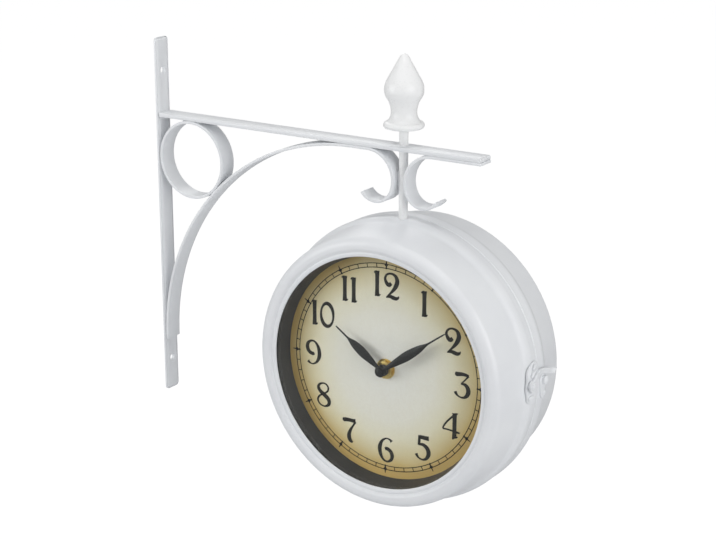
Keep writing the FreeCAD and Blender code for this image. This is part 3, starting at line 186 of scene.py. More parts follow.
def draw_chain(name: str, points: Sequence[Vector], closed: bool) -> Object:
    """Draws a chain of edges, each vertex extruded from the one before.

    Args:
        name: the new object's name.
        points: the chain's corners in metres.
        closed: True for an outline that returns to its start.

    Returns:
        The chain as a mesh object.
    """
    put_down()
    bpy.ops.mesh.primitive_plane_add(size=MM, location=(0, 0, 0))
    chain = named(name)
    edit(chain)
    bpy.ops.mesh.merge(type="CENTER")
    bpy.ops.transform.translate(value=points[0])
    stops = list(points) + ([points[0]] if closed else [])
    for here, there in zip(stops, stops[1:]):
        bpy.ops.mesh.extrude_vertices_move(TRANSFORM_OT_translate={"value": there - here})
    bpy.ops.mesh.select_all(action="SELECT")
    bpy.ops.mesh.remove_doubles(threshold=1e-7)
    put_down()
    return chain


def lathe(name: str, section: Sequence[Point2], steps: int, closed: bool = True) -> Object:
    """Turns a section about the Y axis, as on a lathe.

    Args:
        name: the new object's name.
        section: (radius, depth along Y) corners in millimetres.
        steps: how many faces go round.
        closed: False for a section that starts and ends on the axis.

    Returns:
        The turned piece, closed and facing outwards.
    """
    turned = draw_chain(name, [mm(radius, depth, 0) for radius, depth in section], closed)
    edit(turned)
    bpy.ops.mesh.spin(steps=steps, angle=math.tau, center=(0, 0, 0), axis=(0, 1, 0))
    close_up(turned)
    smooth(turned)
    return turned


def drill(piece: Object, radius: float, start: Vector, end: Vector) -> None:
    """Cuts a round hole from start to end.

    Args:
        piece: the mesh that is drilled.
        radius: in millimetres.
        start: where the drill starts, in metres.
        end: where it stops.
    """
    direction = end - start
    put_down()
    bpy.ops.mesh.primitive_cylinder_add(vertices=48, radius=radius * MM, depth=direction.length,
                                        location=(start + end) / 2,
                                        rotation=direction.to_track_quat("Z", "Y").to_euler())
    tool = named("drill")
    modify(piece, "BOOLEAN", operation="DIFFERENCE", object=tool, solver="EXACT")
    bpy.data.objects.remove(tool)


def stand_up(piece: Object) -> None:
    """Turns a piece that was drawn along Y so that it stands along Z."""
    piece.rotation_euler = (math.radians(90), 0, 0)
    apply_place(piece)


def bow(start: Point2, end: Point2, centre: Point2, step: float = 4.0) -> list[Point2]:
    """Points on the shorter arc from start to end about centre, both ends included.

    Args:
        start: the first point, in millimetres.
        end: the last point.
        centre: the arc's centre.
        step: the largest angle between two points, in degrees.

    Returns:
        The points in order.
    """
    first = math.atan2(start[1] - centre[1], start[0] - centre[0])
    turn = math.atan2(end[1] - centre[1], end[0] - centre[0]) - first
    turn = (turn + math.pi) % math.tau - math.pi
    radius = math.dist(start, centre)
    count = max(2, math.ceil(abs(math.degrees(turn)) / step))
    return [(centre[0] + radius * math.cos(first + turn * i / count),
             centre[1] + radius * math.sin(first + turn * i / count)) for i in range(count + 1)]


def rounded(corners: Sequence[tuple[float, float, float]], step: float = 6.0) -> list[Point2]:
    """A path from corner to corner whose inner corners are rounded.

    Args:
        corners: the place of each corner and its radius, in millimetres; 0 keeps it sharp.
        step: the largest angle between two points of a rounding, in degrees.

    Returns:
        The points in order.
    """
    path: list[Point2] = [corners[0][:2]]
    for before, (u, v, radius), after in zip(corners, corners[1:], corners[2:]):
        here = Vector((u, v))
        back, ahead = ((Vector(other[:2]) - here).normalized() for other in (before, after))
        half = back.angle(ahead) / 2
        if radius == 0.0:
            path.append((u, v))
            continue
        start, end = (here + way * radius / math.tan(half) for way in (back, ahead))
        path += bow(tuple(start), tuple(end), tuple(here + (back + ahead).normalized() * radius / math.sin(half)), step)
    return path + [corners[-1][:2]]


def along(stations: Sequence[tuple[float, ...]], detail: int) -> list[tuple[float, ...]]:
    """A smooth run of values through given stations.

    Args:
        stations: tuples of equal length that the run passes through.
        detail: how many steps go between two stations.

    Returns:
        The values along the run, ends included.
    """
    ends = [tuple(2 * a - b for a, b in zip(stations[0], stations[1]))]
    tail = [tuple(2 * a - b for a, b in zip(stations[-1], stations[-2]))]
    padded = ends + list(stations) + tail
    run: list[tuple[float, ...]] = []
    for before, start, end, after in zip(padded, padded[1:], padded[2:], padded[3:]):
        for i in range(detail):
            t = i / detail
            run.append(tuple(0.5 * (2 * b + (c - a) * t + (2 * a - 5 * b + 4 * c - d) * t * t
                                    + (3 * b - a - 3 * c + d) * t ** 3)
                             for a, b, c, d in zip(before, start, end, after)))
    return run + [tuple(stations[-1])]


# ---- finishes -----------------------------------------------------------------------------------
def add_node(tree: NodeTree, kind: str, settings: dict[str, Any] | None = None,
             inputs: dict[str | int, Any] | None = None) -> Node:
    """Adds one node to a material.

    Args:
        tree: the material's node tree.
        kind: the node's type name.
        settings: properties of the node.
        inputs: socket name or number to a value, or to the output socket that feeds it.

    Returns:
        The new node.
    """
    node = tree.nodes.new(kind)
    for key, value in (settings or {}).items():
        setattr(node, key, value)
    for key, value in (inputs or {}).items():
        if isinstance(value, NodeSocket):
            tree.links.new(value, node.inputs[key])
        else:
            node.inputs[key].default_value = value
    return node


def ramp(tree: NodeTree, value: NodeSocket,
         stops: Sequence[tuple[float, str]]) -> NodeSocket:
    """Turns a value into colours that blend from stop to stop."""
    node = add_node(tree, "ShaderNodeValToRGB", inputs={"Fac": value})
    elements = node.color_ramp.elements
    while len(elements) < len(stops):
        elements.new(0.5)
    for element, (place, colour) in zip(elements, stops):
        element.position = place
        element.color = to_linear(colour)
    return node.outputs["Color"]


def clouds(tree: NodeTree, place: NodeSocket, size: float, detail: float, **more: float) -> NodeSocket:
    """A noise pattern.

    Args:
        tree: the material's node tree.
        place: where on the piece the pattern is read.
        size: how large its features are, in millimetres.
        detail: how many finer octaves it has.
        more: values for its other sockets.

    Returns:
        Its value, around 0.5.
    """
    inputs = {"Vector": place, "Scale": 1 / (size * MM), "Detail": detail, **more}
    return add_node(tree, "ShaderNodeTexNoise", inputs=inputs).outputs["Fac"]


def spread(tree: NodeTree, value: NodeSocket, start: float, end: float, low: float, high: float) -> NodeSocket:
    """Maps a value that runs from start to end onto low to high."""
    inputs = {"Value": value, "From Min": start, "From Max": end, "To Min": low, "To Max": high}
    return add_node(tree, "ShaderNodeMapRange", inputs=inputs).outputs["Result"]


def maths(tree: NodeTree, operation: str, *values: Any) -> NodeSocket:
    """One sum on values and sockets."""
    return add_node(tree, "ShaderNodeMath", {"operation": operation}, dict(enumerate(values))).outputs["Value"]


def vectors(tree: NodeTree, operation: str, *values: Any) -> NodeSocket:
    """One sum on vectors; a length comes out as a plain value."""
    node = add_node(tree, "ShaderNodeVectorMath", {"operation": operation}, dict(enumerate(values)))
    return node.outputs["Value" if operation == "LENGTH" else "Vector"]


def part(tree: NodeTree, vector: NodeSocket, axis: str) -> NodeSocket:
    """One of a vector's three parts."""
    return add_node(tree, "ShaderNodeSeparateXYZ", inputs={"Vector": vector}).outputs[axis]


def blend(tree: NodeTree, share: NodeSocket, low: Any, high: Any) -> NodeSocket:
    """Blends two colours by a share from 0 to 1."""
    return add_node(tree, "ShaderNodeMix", {"data_type": "RGBA"}, {0: share, 6: low, 7: high}).outputs[2]


def emboss(tree: NodeTree, shader: Node, height: NodeSocket, depth: float, strength: float = 1.0) -> None:
    """Gives a shader a relief of a depth in millimetres."""
    inputs = {"Height": height, "Distance": depth * MM, "Strength": strength}
    tree.links.new(add_node(tree, "ShaderNodeBump", inputs=inputs).outputs["Normal"], shader.inputs["Normal"])


@dataclass(frozen=True)
class Finish:
    """What every finish has: a real material's name, its colour and how it shines."""

    name: str
    colour: str
    roughness: float
    metallic: float = 0.0
    ior: float = 1.5
    gleam: float = 0.5

    def build(self) -> Material:
        """Makes the material.

        Returns:
            The material, ready for a slot.
        """
        material = bpy.data.materials.new(self.name)
        material.use_nodes = True
        tree = material.node_tree
        tree.nodes.clear()
        place = add_node(tree, "ShaderNodeTexCoord").outputs["Object"]
        shader = add_node(tree, "ShaderNodeBsdfPrincipled",
                          inputs={"Base Color": to_linear(self.colour), "Roughness": self.roughness,
                                  "Metallic": self.metallic})
        if self.metallic < 0.5:
            shader.inputs["IOR"].default_value = self.ior
            shader.inputs["Specular IOR Level"].default_value = self.gleam
        self.dress(tree, shader, place)
        add_node(tree, "ShaderNodeOutputMaterial", inputs={"Surface": self.surface(tree, shader)})
        return material

    def dress(self, tree: NodeTree, shader: Node, place: NodeSocket) -> None:
        """Adds the patterns that this finish shows."""

    def surface(self, tree: NodeTree, shader: Node) -> NodeSocket:
        """The socket that the material's output takes."""
        return shader.outputs["BSDF"]


@dataclass(frozen=True)
class PowderCoat(Finish):
    """Polyester powder baked on steel: satin, faintly pebbled like orange peel, with slow waves in its colour."""

    shade: str = "D9DCDE"
    peel_size: float = 1.1
    peel_depth: float = 0.012
    wave_size: float = 38.0

    def dress(self, tree: NodeTree, shader: Node, place: NodeSocket) -> None:
        """The pebbles are 1 to 2 mm across and a hundredth of a millimetre deep."""
        colour = ramp(tree, clouds(tree, place, self.wave_size, 3.0), [(0.32, self.shade), (0.68, self.colour)])
        tree.links.new(colour, shader.inputs["Base Color"])
        peel = clouds(tree, place, self.peel_size, 1.5, Roughness=0.45)
        gloss = spread(tree, peel, 0.3, 0.7, self.roughness - 0.04, self.roughness + 0.05)
        tree.links.new(gloss, shader.inputs["Roughness"])
        emboss(tree, shader, peel, self.peel_depth)


@dataclass(frozen=True)
class BrushedMetal(Finish):
    """Bare or plated metal with the fine lines of its last tool and duller patches from handling."""

    worn: str = "8A8478"
    line_size: float = 0.25
    line_depth: float = 0.006
    patch_size: float = 4.0
    stretch: tuple[float, float, float] = (1.0, 1.0, 0.05)

    def dress(self, tree: NodeTree, shader: Node, place: NodeSocket) -> None:
        """Lines of a quarter millimetre, stretched along one direction; the real ones are finer."""
        squeezed = add_node(tree, "ShaderNodeMapping", inputs={"Vector": place, "Scale": self.stretch})
        lines = clouds(tree, squeezed.outputs["Vector"], self.line_size, 2.0)
        colour = ramp(tree, clouds(tree, place, self.patch_size, 4.0), [(0.3, self.worn), (0.55, self.colour)])
        tree.links.new(colour, shader.inputs["Base Color"])
        gloss = spread(tree, lines, 0.0, 1.0, self.roughness - 0.08, self.roughness + 0.14)
        tree.links.new(gloss, shader.inputs["Roughness"])
        emboss(tree, shader, lines, self.line_depth)


@dataclass(frozen=True)
class MouldedPlastic(Finish):
    """Moulded plastic with a fine spark-eroded grain and a slightly uneven shine."""

    shade: str = "1B1C1E"
    grain_size: float = 0.6
    grain_depth: float = 0.02
    cloud_size: float = 14.0

    def dress(self, tree: NodeTree, shader: Node, place: NodeSocket) -> None:
        """Grain of half a millimetre, coarser than the real tenth so that it shows."""
        grain = clouds(tree, place, self.grain_size, 3.0)
        drift = clouds(tree, place, self.cloud_size, 2.0)
        tree.links.new(ramp(tree, drift, [(0.35, self.shade), (0.65, self.colour)]), shader.inputs["Base Color"])
        gloss = spread(tree, drift, 0.3, 0.7, self.roughness - 0.05, self.roughness + 0.06)
        tree.links.new(gloss, shader.inputs["Roughness"])
        emboss(tree, shader, grain, self.grain_depth)


@dataclass(frozen=True)
class AgedDial(Finish):
    """Printed dial, matt varnished: pale warm grey in the middle, tanned to amber at its rim with painted shade from
    the bezel and ring darkening it there, a little darker towards the bottom, lightly foxed.
    """

    centre: tuple[float, float] = (202.5, -70.0)
    seam: float = 7.0
    rim_radius: float = 81.0
    cloud_size: float = 40.0
    push: float = 0.16
    sink: float = -0.045
    speck_size: float = 1.6
    speck_depth: float = 0.006
    fleck: str = "C6AE7C"
    back: str = "CFCBC2"
    # Ramp from middle to rim: real yellowing plus painted shade, darkest where the bezel and ring shade the dial.
    tan: tuple[tuple[float, str], ...] = ((0.10, "F2F0EE"), (0.55, "F1EDE3"), (0.72, "EEE7D0"), (0.86, "E2D3A8"),
                                          (0.95, "D6BB7A"), (1.0, "CDAA5E"))

    def printed_face(self, tree: NodeTree, place: NodeSocket) -> NodeSocket:
        """One where a face looks away from the case's seam and is printed, nought on the bare back of the sheet."""
        facing = add_node(tree, "ShaderNodeTexCoord").outputs["Normal"]
        away = vectors(tree, "MULTIPLY", vectors(tree, "SUBTRACT", place, mm(0, self.seam, 0)), facing)
        return maths(tree, "GREATER_THAN", part(tree, away, "Y"), 0.0)

    def dress(self, tree: NodeTree, shader: Node, place: NodeSocket) -> None:
        """The tan follows the distance from the dial's middle, pushed in and out by slow clouds of 40 mm; towards the
        rim it also carries painted shade, and it deepens a little towards the bottom.
        """
        x, z = self.centre
        centred = add_node(tree, "ShaderNodeMapping", inputs={"Vector": place, "Location": (-x * MM, 0.0, -z * MM)})
        per_rim = 1 / (self.rim_radius * MM)
        flat = vectors(tree, "MULTIPLY", centred.outputs["Vector"], (per_rim, 0.0, per_rim))
        pushed = maths(tree, "MULTIPLY_ADD", clouds(tree, place, self.cloud_size, 3.0), self.push,
                       vectors(tree, "LENGTH", flat))
        # The rim end of this ramp is partly painted shade; the sink term makes the dial a little darker towards the
        # bottom.
        tan = ramp(tree, maths(tree, "MULTIPLY_ADD", part(tree, flat, "Z"), self.sink, pushed), self.tan)
        specks = clouds(tree, place, self.speck_size, 4.0)
        print_side = blend(tree, spread(tree, specks, 0.35, 0.75, 0.0, 0.10), tan, to_linear(self.fleck))
        sheet = blend(tree, self.printed_face(tree, place), to_linear(self.back), print_side)
        tree.links.new(sheet, shader.inputs["Base Color"])
        emboss(tree, shader, specks, self.speck_depth)


@dataclass(frozen=True)
class WindowGlass(Finish):
    """Drawn soda-lime glass: clear, faintly green, with a breath of unevenness in its surface."""

    ripple_size: float = 60.0
    ripple_depth: float = 0.01

    def dress(self, tree: NodeTree, shader: Node, place: NodeSocket) -> None:
        """Clear all through, with slow ripples of 60 mm in its polish."""
        shader.inputs["Transmission Weight"].default_value = 1.0
        emboss(tree, shader, clouds(tree, place, self.ripple_size, 0.0), self.ripple_depth, 0.3)

    def surface(self, tree: NodeTree, shader: Node) -> NodeSocket:
        """Lets the lamps through to the dial."""
        rays = add_node(tree, "ShaderNodeLightPath")
        clear = add_node(tree, "ShaderNodeBsdfTransparent")
        mixed = add_node(tree, "ShaderNodeMixShader",
                         inputs={0: rays.outputs["Is Shadow Ray"], 1: shader.outputs["BSDF"], 2: clear.outputs["BSDF"]})
        return mixed.outputs["Shader"]


@dataclass(frozen=True)
class WrappedCell(Finish):
    """Zinc cell in a printed plastic sleeve: two plain bands, dark and copper, with a soft shine."""

    scuffed: str = "141517"
    scuff_size: float = 3.0
    band: str = "B57A3C"
    band_x: float = 218.0

    def dress(self, tree: NodeTree, shader: Node, place: NodeSocket) -> None:
        """The copper band covers the end with the nub, as far as band_x."""
        edge = maths(tree, "GREATER_THAN", part(tree, place, "X"), self.band_x * MM)
        dark = ramp(tree, clouds(tree, place, self.scuff_size, 4.0), [(0.3, self.scuffed), (0.7, self.colour)])
        tree.links.new(blend(tree, edge, dark, to_linear(self.band)), shader.inputs["Base Color"])


class Coat(Enum):
    """The finishes that this clock has, each under its real material's name."""

    # White satin powder coat: cool, even, soft highlights along every rounded edge.
    ENAMEL = PowderCoat("white_powder_coat", "ECEEF0", 0.36, shade="E6E8EB")
    # The same powder on the hanging rod and finial, a touch glossier where it was turned, and painted lighter than the
    # case's coat to stand in for the extra light that falls on them.
    TURNED = PowderCoat("white_powder_coat_turned_painted_light", "FAFAFA", 0.30, shade="F6F7F7", peel_depth=0.008)
    # Black semi-gloss lacquer on the ring behind the glass: reads as a dark band with a grey sheen.
    RING = MouldedPlastic("black_lacquered_ring", "232326", 0.38, shade="1C1C1F", grain_depth=0.01)
    # Aged warm grey print; its darkening towards the rim is partly painted shade under the bezel.
    DIAL = AgedDial("printed_aged_dial_rim_shade", "E2DFD3", 0.55)
    # Dark brown-black printing ink, nearly matt.
    INK = MouldedPlastic("printing_ink", "16110A", 0.7, gleam=0.2, shade="0F0B06", grain_size=0.35, grain_depth=0.004)
    # Black stoved lacquer on the stamped hands: deep with a soft sheen on the crown.
    HANDS = MouldedPlastic("black_stoved_lacquer", "0F0F11", 0.40, gleam=0.35, shade="09090A", grain_depth=0.006)
    # The same lacquer polished on the cap: black with one bright spot of light.
    CAP = MouldedPlastic("black_gloss_lacquer", "0C0C0E", 0.14, shade="070708", grain_depth=0.002)
    # Turned brass of the dial nut and bush: warm yellow with bright machined edges.
    BRASS = BrushedMetal("turned_brass", "F4D98C", 0.28, 1.0, worn="D8B25E", stretch=(1.0, 0.05, 1.0))
    # Zinc plated steel: cool grey, slightly blotchy.
    ZINC = BrushedMetal("zinc_plated_steel", "B9BCC0", 0.34, 1.0, worn="979A9F")
    GLASS = WindowGlass("soda_lime_glass", "F7FAF8", 0.0, ior=1.52, gleam=0.25)
    # Black ABS of the movement's housing.
    HOUSING = MouldedPlastic("black_abs", "26272A", 0.48)
    # Milky acetal of the wheels.
    ACETAL = MouldedPlastic("white_acetal", "E4E1D6", 0.4, shade="D6D2C4", grain_depth=0.008)
    CELL = WrappedCell("sleeved_zinc_cell", "1F2023", 0.3)
    COPPER = BrushedMetal("enamelled_copper_wire", "C5713A", 0.3, 1.0, worn="A85A2B", line_size=0.18,
                          stretch=(1.0, 0.08, 0.08))
    BOARD = MouldedPlastic("green_solder_resist", "1F6A3C", 0.35, shade="18582F", grain_size=1.2, grain_depth=0.02)


class Paint:
    """Makes each finish once and puts it on pieces and CAD nodes."""

    def __init__(self) -> None:
        """Starts with an empty shelf."""
        self.shelf: dict[Coat, Material] = {}

    def get(self, coat: Coat) -> Material:
        """The material of a finish, made at its first use."""
        if coat not in self.shelf:
            self.shelf[coat] = coat.value.build()
        return self.shelf[coat]

    def cover(self, piece: Object, coat: Coat) -> None:
        """Gives a new piece this finish alone."""
        piece.data.materials.clear()
        piece.data.materials.append(self.get(coat))

    def recoat(self, node: Object, coat: Coat) -> None:
        """Puts a finish in the slots of a CAD node."""
        if not node.material_slots:
            node.data.materials.append(self.get(coat))
        for slot in node.material_slots:
            slot.material = self.get(coat)


@dataclass
class Shop:
    """What every sub-assembly works with."""

    nodes: dict[str, Object]
    paint: Paint

    def fit(self, piece: Object, body: str, slot: str, coat: Coat, *replaced: str) -> Object:
        """Paints a finished piece, hangs it on its body and reports it.

        Args:
            piece: the finished mesh, in place.
            body: the CAD body that it moves with.
            slot: a material slot's name; not used.
            coat: its finish.
            replaced: the CAD nodes that it stands for.

        Returns:
            The piece.
        """
        self.paint.cover(piece, coat)
        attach(piece, body)
        if replaced:
            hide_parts(*replaced)
        LOG.info("%s: %d faces on %s", piece.name, len(piece.data.polygons), body)
        return piece


# ---- wall bracket -------------------------------------------------------------------------------
@dataclass
class Bracket:
    """Flat bars and bent strips, welded: wall bar, arm, corner ring, brace with its scroll, end scroll."""

    shop: Shop
    bar_width: float = 13.5
    bar_thickness: float = 3.0
    bar_length: float = 262.0
    screw_spacing: float = 215.0
    screw_hole: float = 2.5
    arm_top: float = 78.0
    arm_reach: float = 263.5
    strip: float = 2.0
    ring_radius: float = 27.88
    brace_radius: float = 162.5
    foot: float = 3.5
    rod_x: float = 202.5
    scroll_x: float = 178.4
    scroll_radius: float = 20.5
    curl_radius: float = 14.0
    curl_start: float = 22.0
    curl_turn: float = 122.0
    edge: float = 0.45

    def build(self) -> None:
        """Makes the whole bracket."""
        self.wall_bar()
        self.arm()
        self.ring()
        self.brace()
        self.end_scroll()
        self.welds()

    @property
    def under(self) -> float:
        """Height of the arm's underside."""
        return self.arm_top - self.bar_thickness

    def enamel(self, piece: Object, *replaced: str) -> None:
        """Coats a finished piece of the bracket."""
        self.shop.fit(piece, "bracket", "white_enamel", Coat.ENAMEL, *replaced)

    def bar(self, name: str, low: Vector, high: Vector, corner_edges: Callable[[Vector, Vector], bool],
            corner: float) -> Object:
        """A flat bar between two corners with its own rounded ends.

        Args:
            name: the piece's name.
            low: the lowest corner in metres.
            high: the highest corner.
            corner_edges: says of an edge's two ends whether the bar is rounded there.
            corner: radius of that rounding in millimetres.

        Returns:
            The bar, its long edges still sharp.
        """
        put_down()
        bpy.ops.mesh.primitive_cube_add(size=1.0, location=(low + high) / 2, scale=high - low)
        bar = named(name)
        apply_place(bar)
        edit(bar)
        bpy.ops.mesh.select_all(action="DESELECT")
        bpy.ops.object.mode_set(mode="OBJECT")
        points = bar.data.vertices
        for line in bar.data.edges:
            line.select = corner_edges(points[line.vertices[0]].co, points[line.vertices[1]].co)
        bpy.ops.object.mode_set(mode="EDIT")
        bpy.ops.mesh.select_mode(type="EDGE")
        bpy.ops.mesh.bevel(offset=corner * MM, segments=8)
        bpy.ops.mesh.select_mode(type="VERT")
        put_down()
        return bar

    def wall_bar(self) -> None:
        """The bar on the wall, with a screw hole near each end."""
        half = self.bar_length / 2
        bar = self.bar("wall_bar_plate", mm(0, -self.bar_width / 2, -half),
                       mm(self.bar_thickness, self.bar_width / 2, half),
                       lambda a, b: abs(a.x - b.x) > self.bar_thickness * MM / 2, 2.5)
        for side in (-1, 1):
            height = side * self.screw_spacing / 2
            drill(bar, self.screw_hole, mm(-2, 0, height), mm(self.bar_thickness + 2, 0, height))
        soften(bar, self.edge)
        self.enamel(bar, "wall_bar")

    def arm(self) -> None:
        """The arm that carries the clock."""
        arm = self.bar("top_arm_bar", mm(self.bar_thickness, -self.bar_width / 2, self.under),
                       mm(self.arm_reach, self.bar_width / 2, self.arm_top),
                       lambda a, b: a.x > 0.2 and abs(a.z - b.z) > MM, 1.25)
        soften(arm, self.edge)
        self.enamel(arm, "top_arm")

    def ring(self) -> None:
        """The closed ring in the corner."""
        half, inner, e = self.bar_width / 2, self.ring_radius - self.strip, self.edge
        ring = lathe("corner_ring_strip", [(inner, -half), (self.ring_radius, -half), (self.ring_radius, half),
                                           (inner, half)], 128)
        soften(ring, e, angle=60.0)
        ring.location = mm(self.bar_thickness + self.ring_radius, 0,
                           self.under - self.ring_radius)
        apply_place(ring)
        self.enamel(ring, "corner_ring")

    def strip_along(self, name: str, path: Sequence[Point2]) -> Object:
        """A bent strip whose outer face follows a path and whose thickness is on the path's right.

        Args:
            name: the piece's name.
            path: (x, z) points in millimetres.

        Returns:
            The strip with rounded edges.
        """
        half = self.bar_width / 2
        strip = draw_chain(name, [mm(x, -half, z) for x, z in path], False)
        edit(strip)
        bpy.ops.mesh.extrude_edges_move(TRANSFORM_OT_translate={"value": mm(0, self.bar_width, 0)})
        close_up(strip)
        heading = Vector((path[1][0] - path[0][0], 0, path[1][1] - path[0][1]))
        beginning = mm(path[0][0], 0, path[0][1]) + heading * MM / 2
        first = min(strip.data.polygons, key=lambda face: (face.center - beginning).length)
        outward = Vector((-heading.z, 0, heading.x))
        if first.normal.dot(outward) < 0:
            edit(strip)
            bpy.ops.mesh.flip_normals()
            put_down()
        modify(strip, "SOLIDIFY", thickness=self.strip * MM, offset=-1.0, use_even_offset=True)
        soften(strip, self.edge, angle=50.0)
        return strip

    def walk(self, start: Point2, heading: float, moves: Sequence[float | tuple[float, float]]) -> list[Point2]:
        """Walks a path that always bends to the right.

        Args:
            start: first point in millimetres.
            heading: first direction in degrees from +X.
            moves: straight lengths, or (radius, degrees) bends.

        Returns:
            The points of the path.
        """
        x, z = start
        path = [start]
        for move in moves:
            a = math.radians(heading)
            if isinstance(move, tuple):
                radius, turn = move
                centre = (x + radius * math.sin(a), z - radius * math.cos(a))
                count = math.ceil(turn / (2.0 if radius > 100 else 4.5))
                for i in range(1, count + 1):
                    b = math.radians(heading + 90 - turn * i / count)
                    path.append((centre[0] + radius * math.cos(b), centre[1] + radius * math.sin(b)))
                heading -= turn
            else:
                path.append((x + move * math.cos(a), z + move * math.sin(a)))
            x, z = path[-1]
        return path

    def brace(self) -> None:
        """The quarter circle, the flat under the arm and the scroll beside the rod, one strip."""
        path = self.walk((self.bar_thickness, self.under - self.brace_radius - self.foot), 90,
                         [self.foot, (self.brace_radius, 90.0), self.scroll_x - self.bar_thickness - self.brace_radius,
                          (self.scroll_radius, 90 + self.curl_start), (self.curl_radius, self.curl_turn)])
        strip = self.strip_along("brace_scroll_strip", path)
        self.enamel(strip, "brace_scroll")

    def end_scroll(self) -> None:
        """The strip under the arm's free end, the mirror image of the other scroll."""
        mirrored_end = 2 * self.rod_x - self.arm_reach
        path = self.walk((mirrored_end, self.under), 0,
                         [self.scroll_x - mirrored_end, (self.scroll_radius, 90 + self.curl_start),
                          (self.curl_radius, self.curl_turn)])
        strip = self.strip_along("end_scroll_strip", path)
        for point in strip.data.vertices:
            point.co.x = 2 * self.rod_x * MM - point.co.x
        close_up(strip)
        smooth(strip)
        self.enamel(strip, "end_scroll")

    def bead(self, x: float, z: float, radius: float, reach: float, across: bool) -> Object:
        """A weld bead: a short worm with the ripples that the torch leaves, its ends drawn in.

        Args:
            x: middle of the bead from the wall, in millimetres.
            z: its height.
            radius: its thickness.
            reach: its length.
            across: True where it runs along Y, and False where it stands along Z.

        Returns:
            The bead in place.
        """
        put_down()
        bpy.ops.mesh.primitive_uv_sphere_add(segments=20, ring_count=44, radius=1.0)
        bead = named("bead")
        for point in bead.data.vertices:
            share = point.co.z
            ripple = 1 + 0.07 * math.sin(share * reach * 2.4) + 0.10 * noise.noise(point.co * 3 + Vector((x, z, 0)))
            girth = (1 - abs(share) ** 5) ** 0.5 / max(1e-6, (1 - share * share) ** 0.5) if abs(share) < 0.999 else 1.0
            point.co = Vector((point.co.x * girth * ripple * radius, point.co.y * girth * ripple * radius,
                               share * reach / 2)) * MM
        if across:
            bead.rotation_euler = (math.radians(90), 0, 0)
        bead.location = mm(x, 0, z)
        apply_place(bead)
        smooth(bead, 80.0)
        return bead

    def welds(self) -> None:
        """Beads where the strips touch each other, the bars and the rod: (x, z, thickness) of each."""
        wall, top, ring_z = self.bar_thickness, self.under, self.under - self.ring_radius
        ring_x, diagonal = wall + self.ring_radius, self.ring_radius * math.sqrt(0.5)
        rod_z, rod_gap, apart, thin, across, upright = top - self.scroll_radius + 0.5, 3.2, 6.5, 0.9, 12.0, 11.0
        ring = [(wall + 0.7, ring_z - apart, thin), (wall + 0.7, ring_z + apart, thin),
                (ring_x - apart, top - 0.7, thin), (ring_x + apart, top - 0.7, thin),
                (ring_x + diagonal + 4.1, ring_z - diagonal + 3.0, thin),
                (ring_x + diagonal - 3.0, ring_z - diagonal - 4.1, thin)]
        rod = [(self.rod_x - rod_gap, rod_z, 1.5), (self.rod_x + rod_gap, rod_z, 1.5)]
        bar = [(wall + 0.9, top - self.brace_radius - self.foot + 1.0, 1.0), (wall + 0.8, top - 0.8, 1.1)]
        beads = [self.bead(*spot, across, True) for spot in ring]
        beads += [self.bead(*spot, upright, False) for spot in rod]
        beads += [self.bead(*spot, across, True) for spot in bar]
        self.enamel(join(beads, "weld_beads"))


@dataclass
class HangingRod:
    """The rod that carries the case, with the turned finial on its top."""

    shop: Shop
    x: float = 202.5
    radius: float = 3.0
    bottom: float = 13.75
    top: float = 105.5
    base: float = 89.5
    height: float = 48.5
    flange: float = 13.5
    flange_height: float = 4.2
    neck: Point2 = (8.5, 10.5)
    belly: Point2 = (13.0, 24.9)
    waist_bend: float = 16.0
    belly_bend: float = 14.0
    tip: float = 3.2

    def build(self) -> None:
        """Makes the rod and the finial."""
        r, c = self.radius, 0.5
        rod = lathe("hanger_rod_bar", [(0, self.bottom), (r - c, self.bottom), (r, self.bottom + c),
                                       (r, self.top - c), (r - c, self.top), (0, self.top)], 48, closed=False)
        finial = lathe("finial_turning", self.outline(), 96, closed=False)
        for piece, height, node in ((rod, 0.0, "hanger_rod"), (finial, self.base, "finial")):
            stand_up(piece)
            piece.location = mm(self.x, 0, height)
            apply_place(piece)
            self.shop.fit(piece, "bracket", "white_enamel", Coat.TURNED, node)

    def outline(self) -> list[Point2]:
        """Half the finial's section, from the middle of its base to its tip, all arcs tangent.

        Returns:
            (radius, height) points in millimetres.
        """
        half = self.flange_height / 2
        flat = self.flange - half
        (neck_r, neck_z), (belly_r, belly_z) = self.neck, self.belly
        step, rise = flat - neck_r, neck_z - self.flange_height
        cove = (step ** 2 + rise ** 2) / (2 * step)
        spread, climb = belly_r - neck_r, belly_z - neck_z
        low_r = (spread ** 2 + climb ** 2) / (2 * spread) - self.waist_bend
        waist = (neck_r + self.waist_bend, neck_z)
        low = (belly_r - low_r, belly_z)
        gap = math.dist(waist, low)
        turning = (waist[0] + (low[0] - waist[0]) * self.waist_bend / gap,
                   waist[1] + (low[1] - waist[1]) * self.waist_bend / gap)
        high = (belly_r - self.belly_bend, belly_z)
        top = (0.0, self.height - self.tip)
        between = (top[0] - high[0], top[1] - high[1])
        lean = math.atan2(between[1], between[0]) - math.acos((self.belly_bend - self.tip) / math.hypot(*between))
        out = (math.cos(lean), math.sin(lean))
        taper_start = (high[0] + out[0] * self.belly_bend, high[1] + out[1] * self.belly_bend)
        taper_end = (top[0] + out[0] * self.tip, top[1] + out[1] * self.tip)
        points = [(0.0, 0.0)] + bow((flat, 0), (self.flange, half), (flat, half), 12.0)
        points += bow((self.flange, half), (flat, self.flange_height), (flat, half), 12.0)[1:]
        points += bow((flat, self.flange_height), (neck_r, neck_z), (neck_r + cove, neck_z), 6.0)[1:]
        points += bow((neck_r, neck_z), turning, waist, 4.0)[1:]
        points += bow(turning, (belly_r, belly_z), low, 4.0)[1:]
        points += bow((belly_r, belly_z), taper_start, high, 5.0)[1:]
        points += bow(taper_end, (0.0, self.height), top, 10.0)
        points[-1] = (0.0, self.height)
        return points


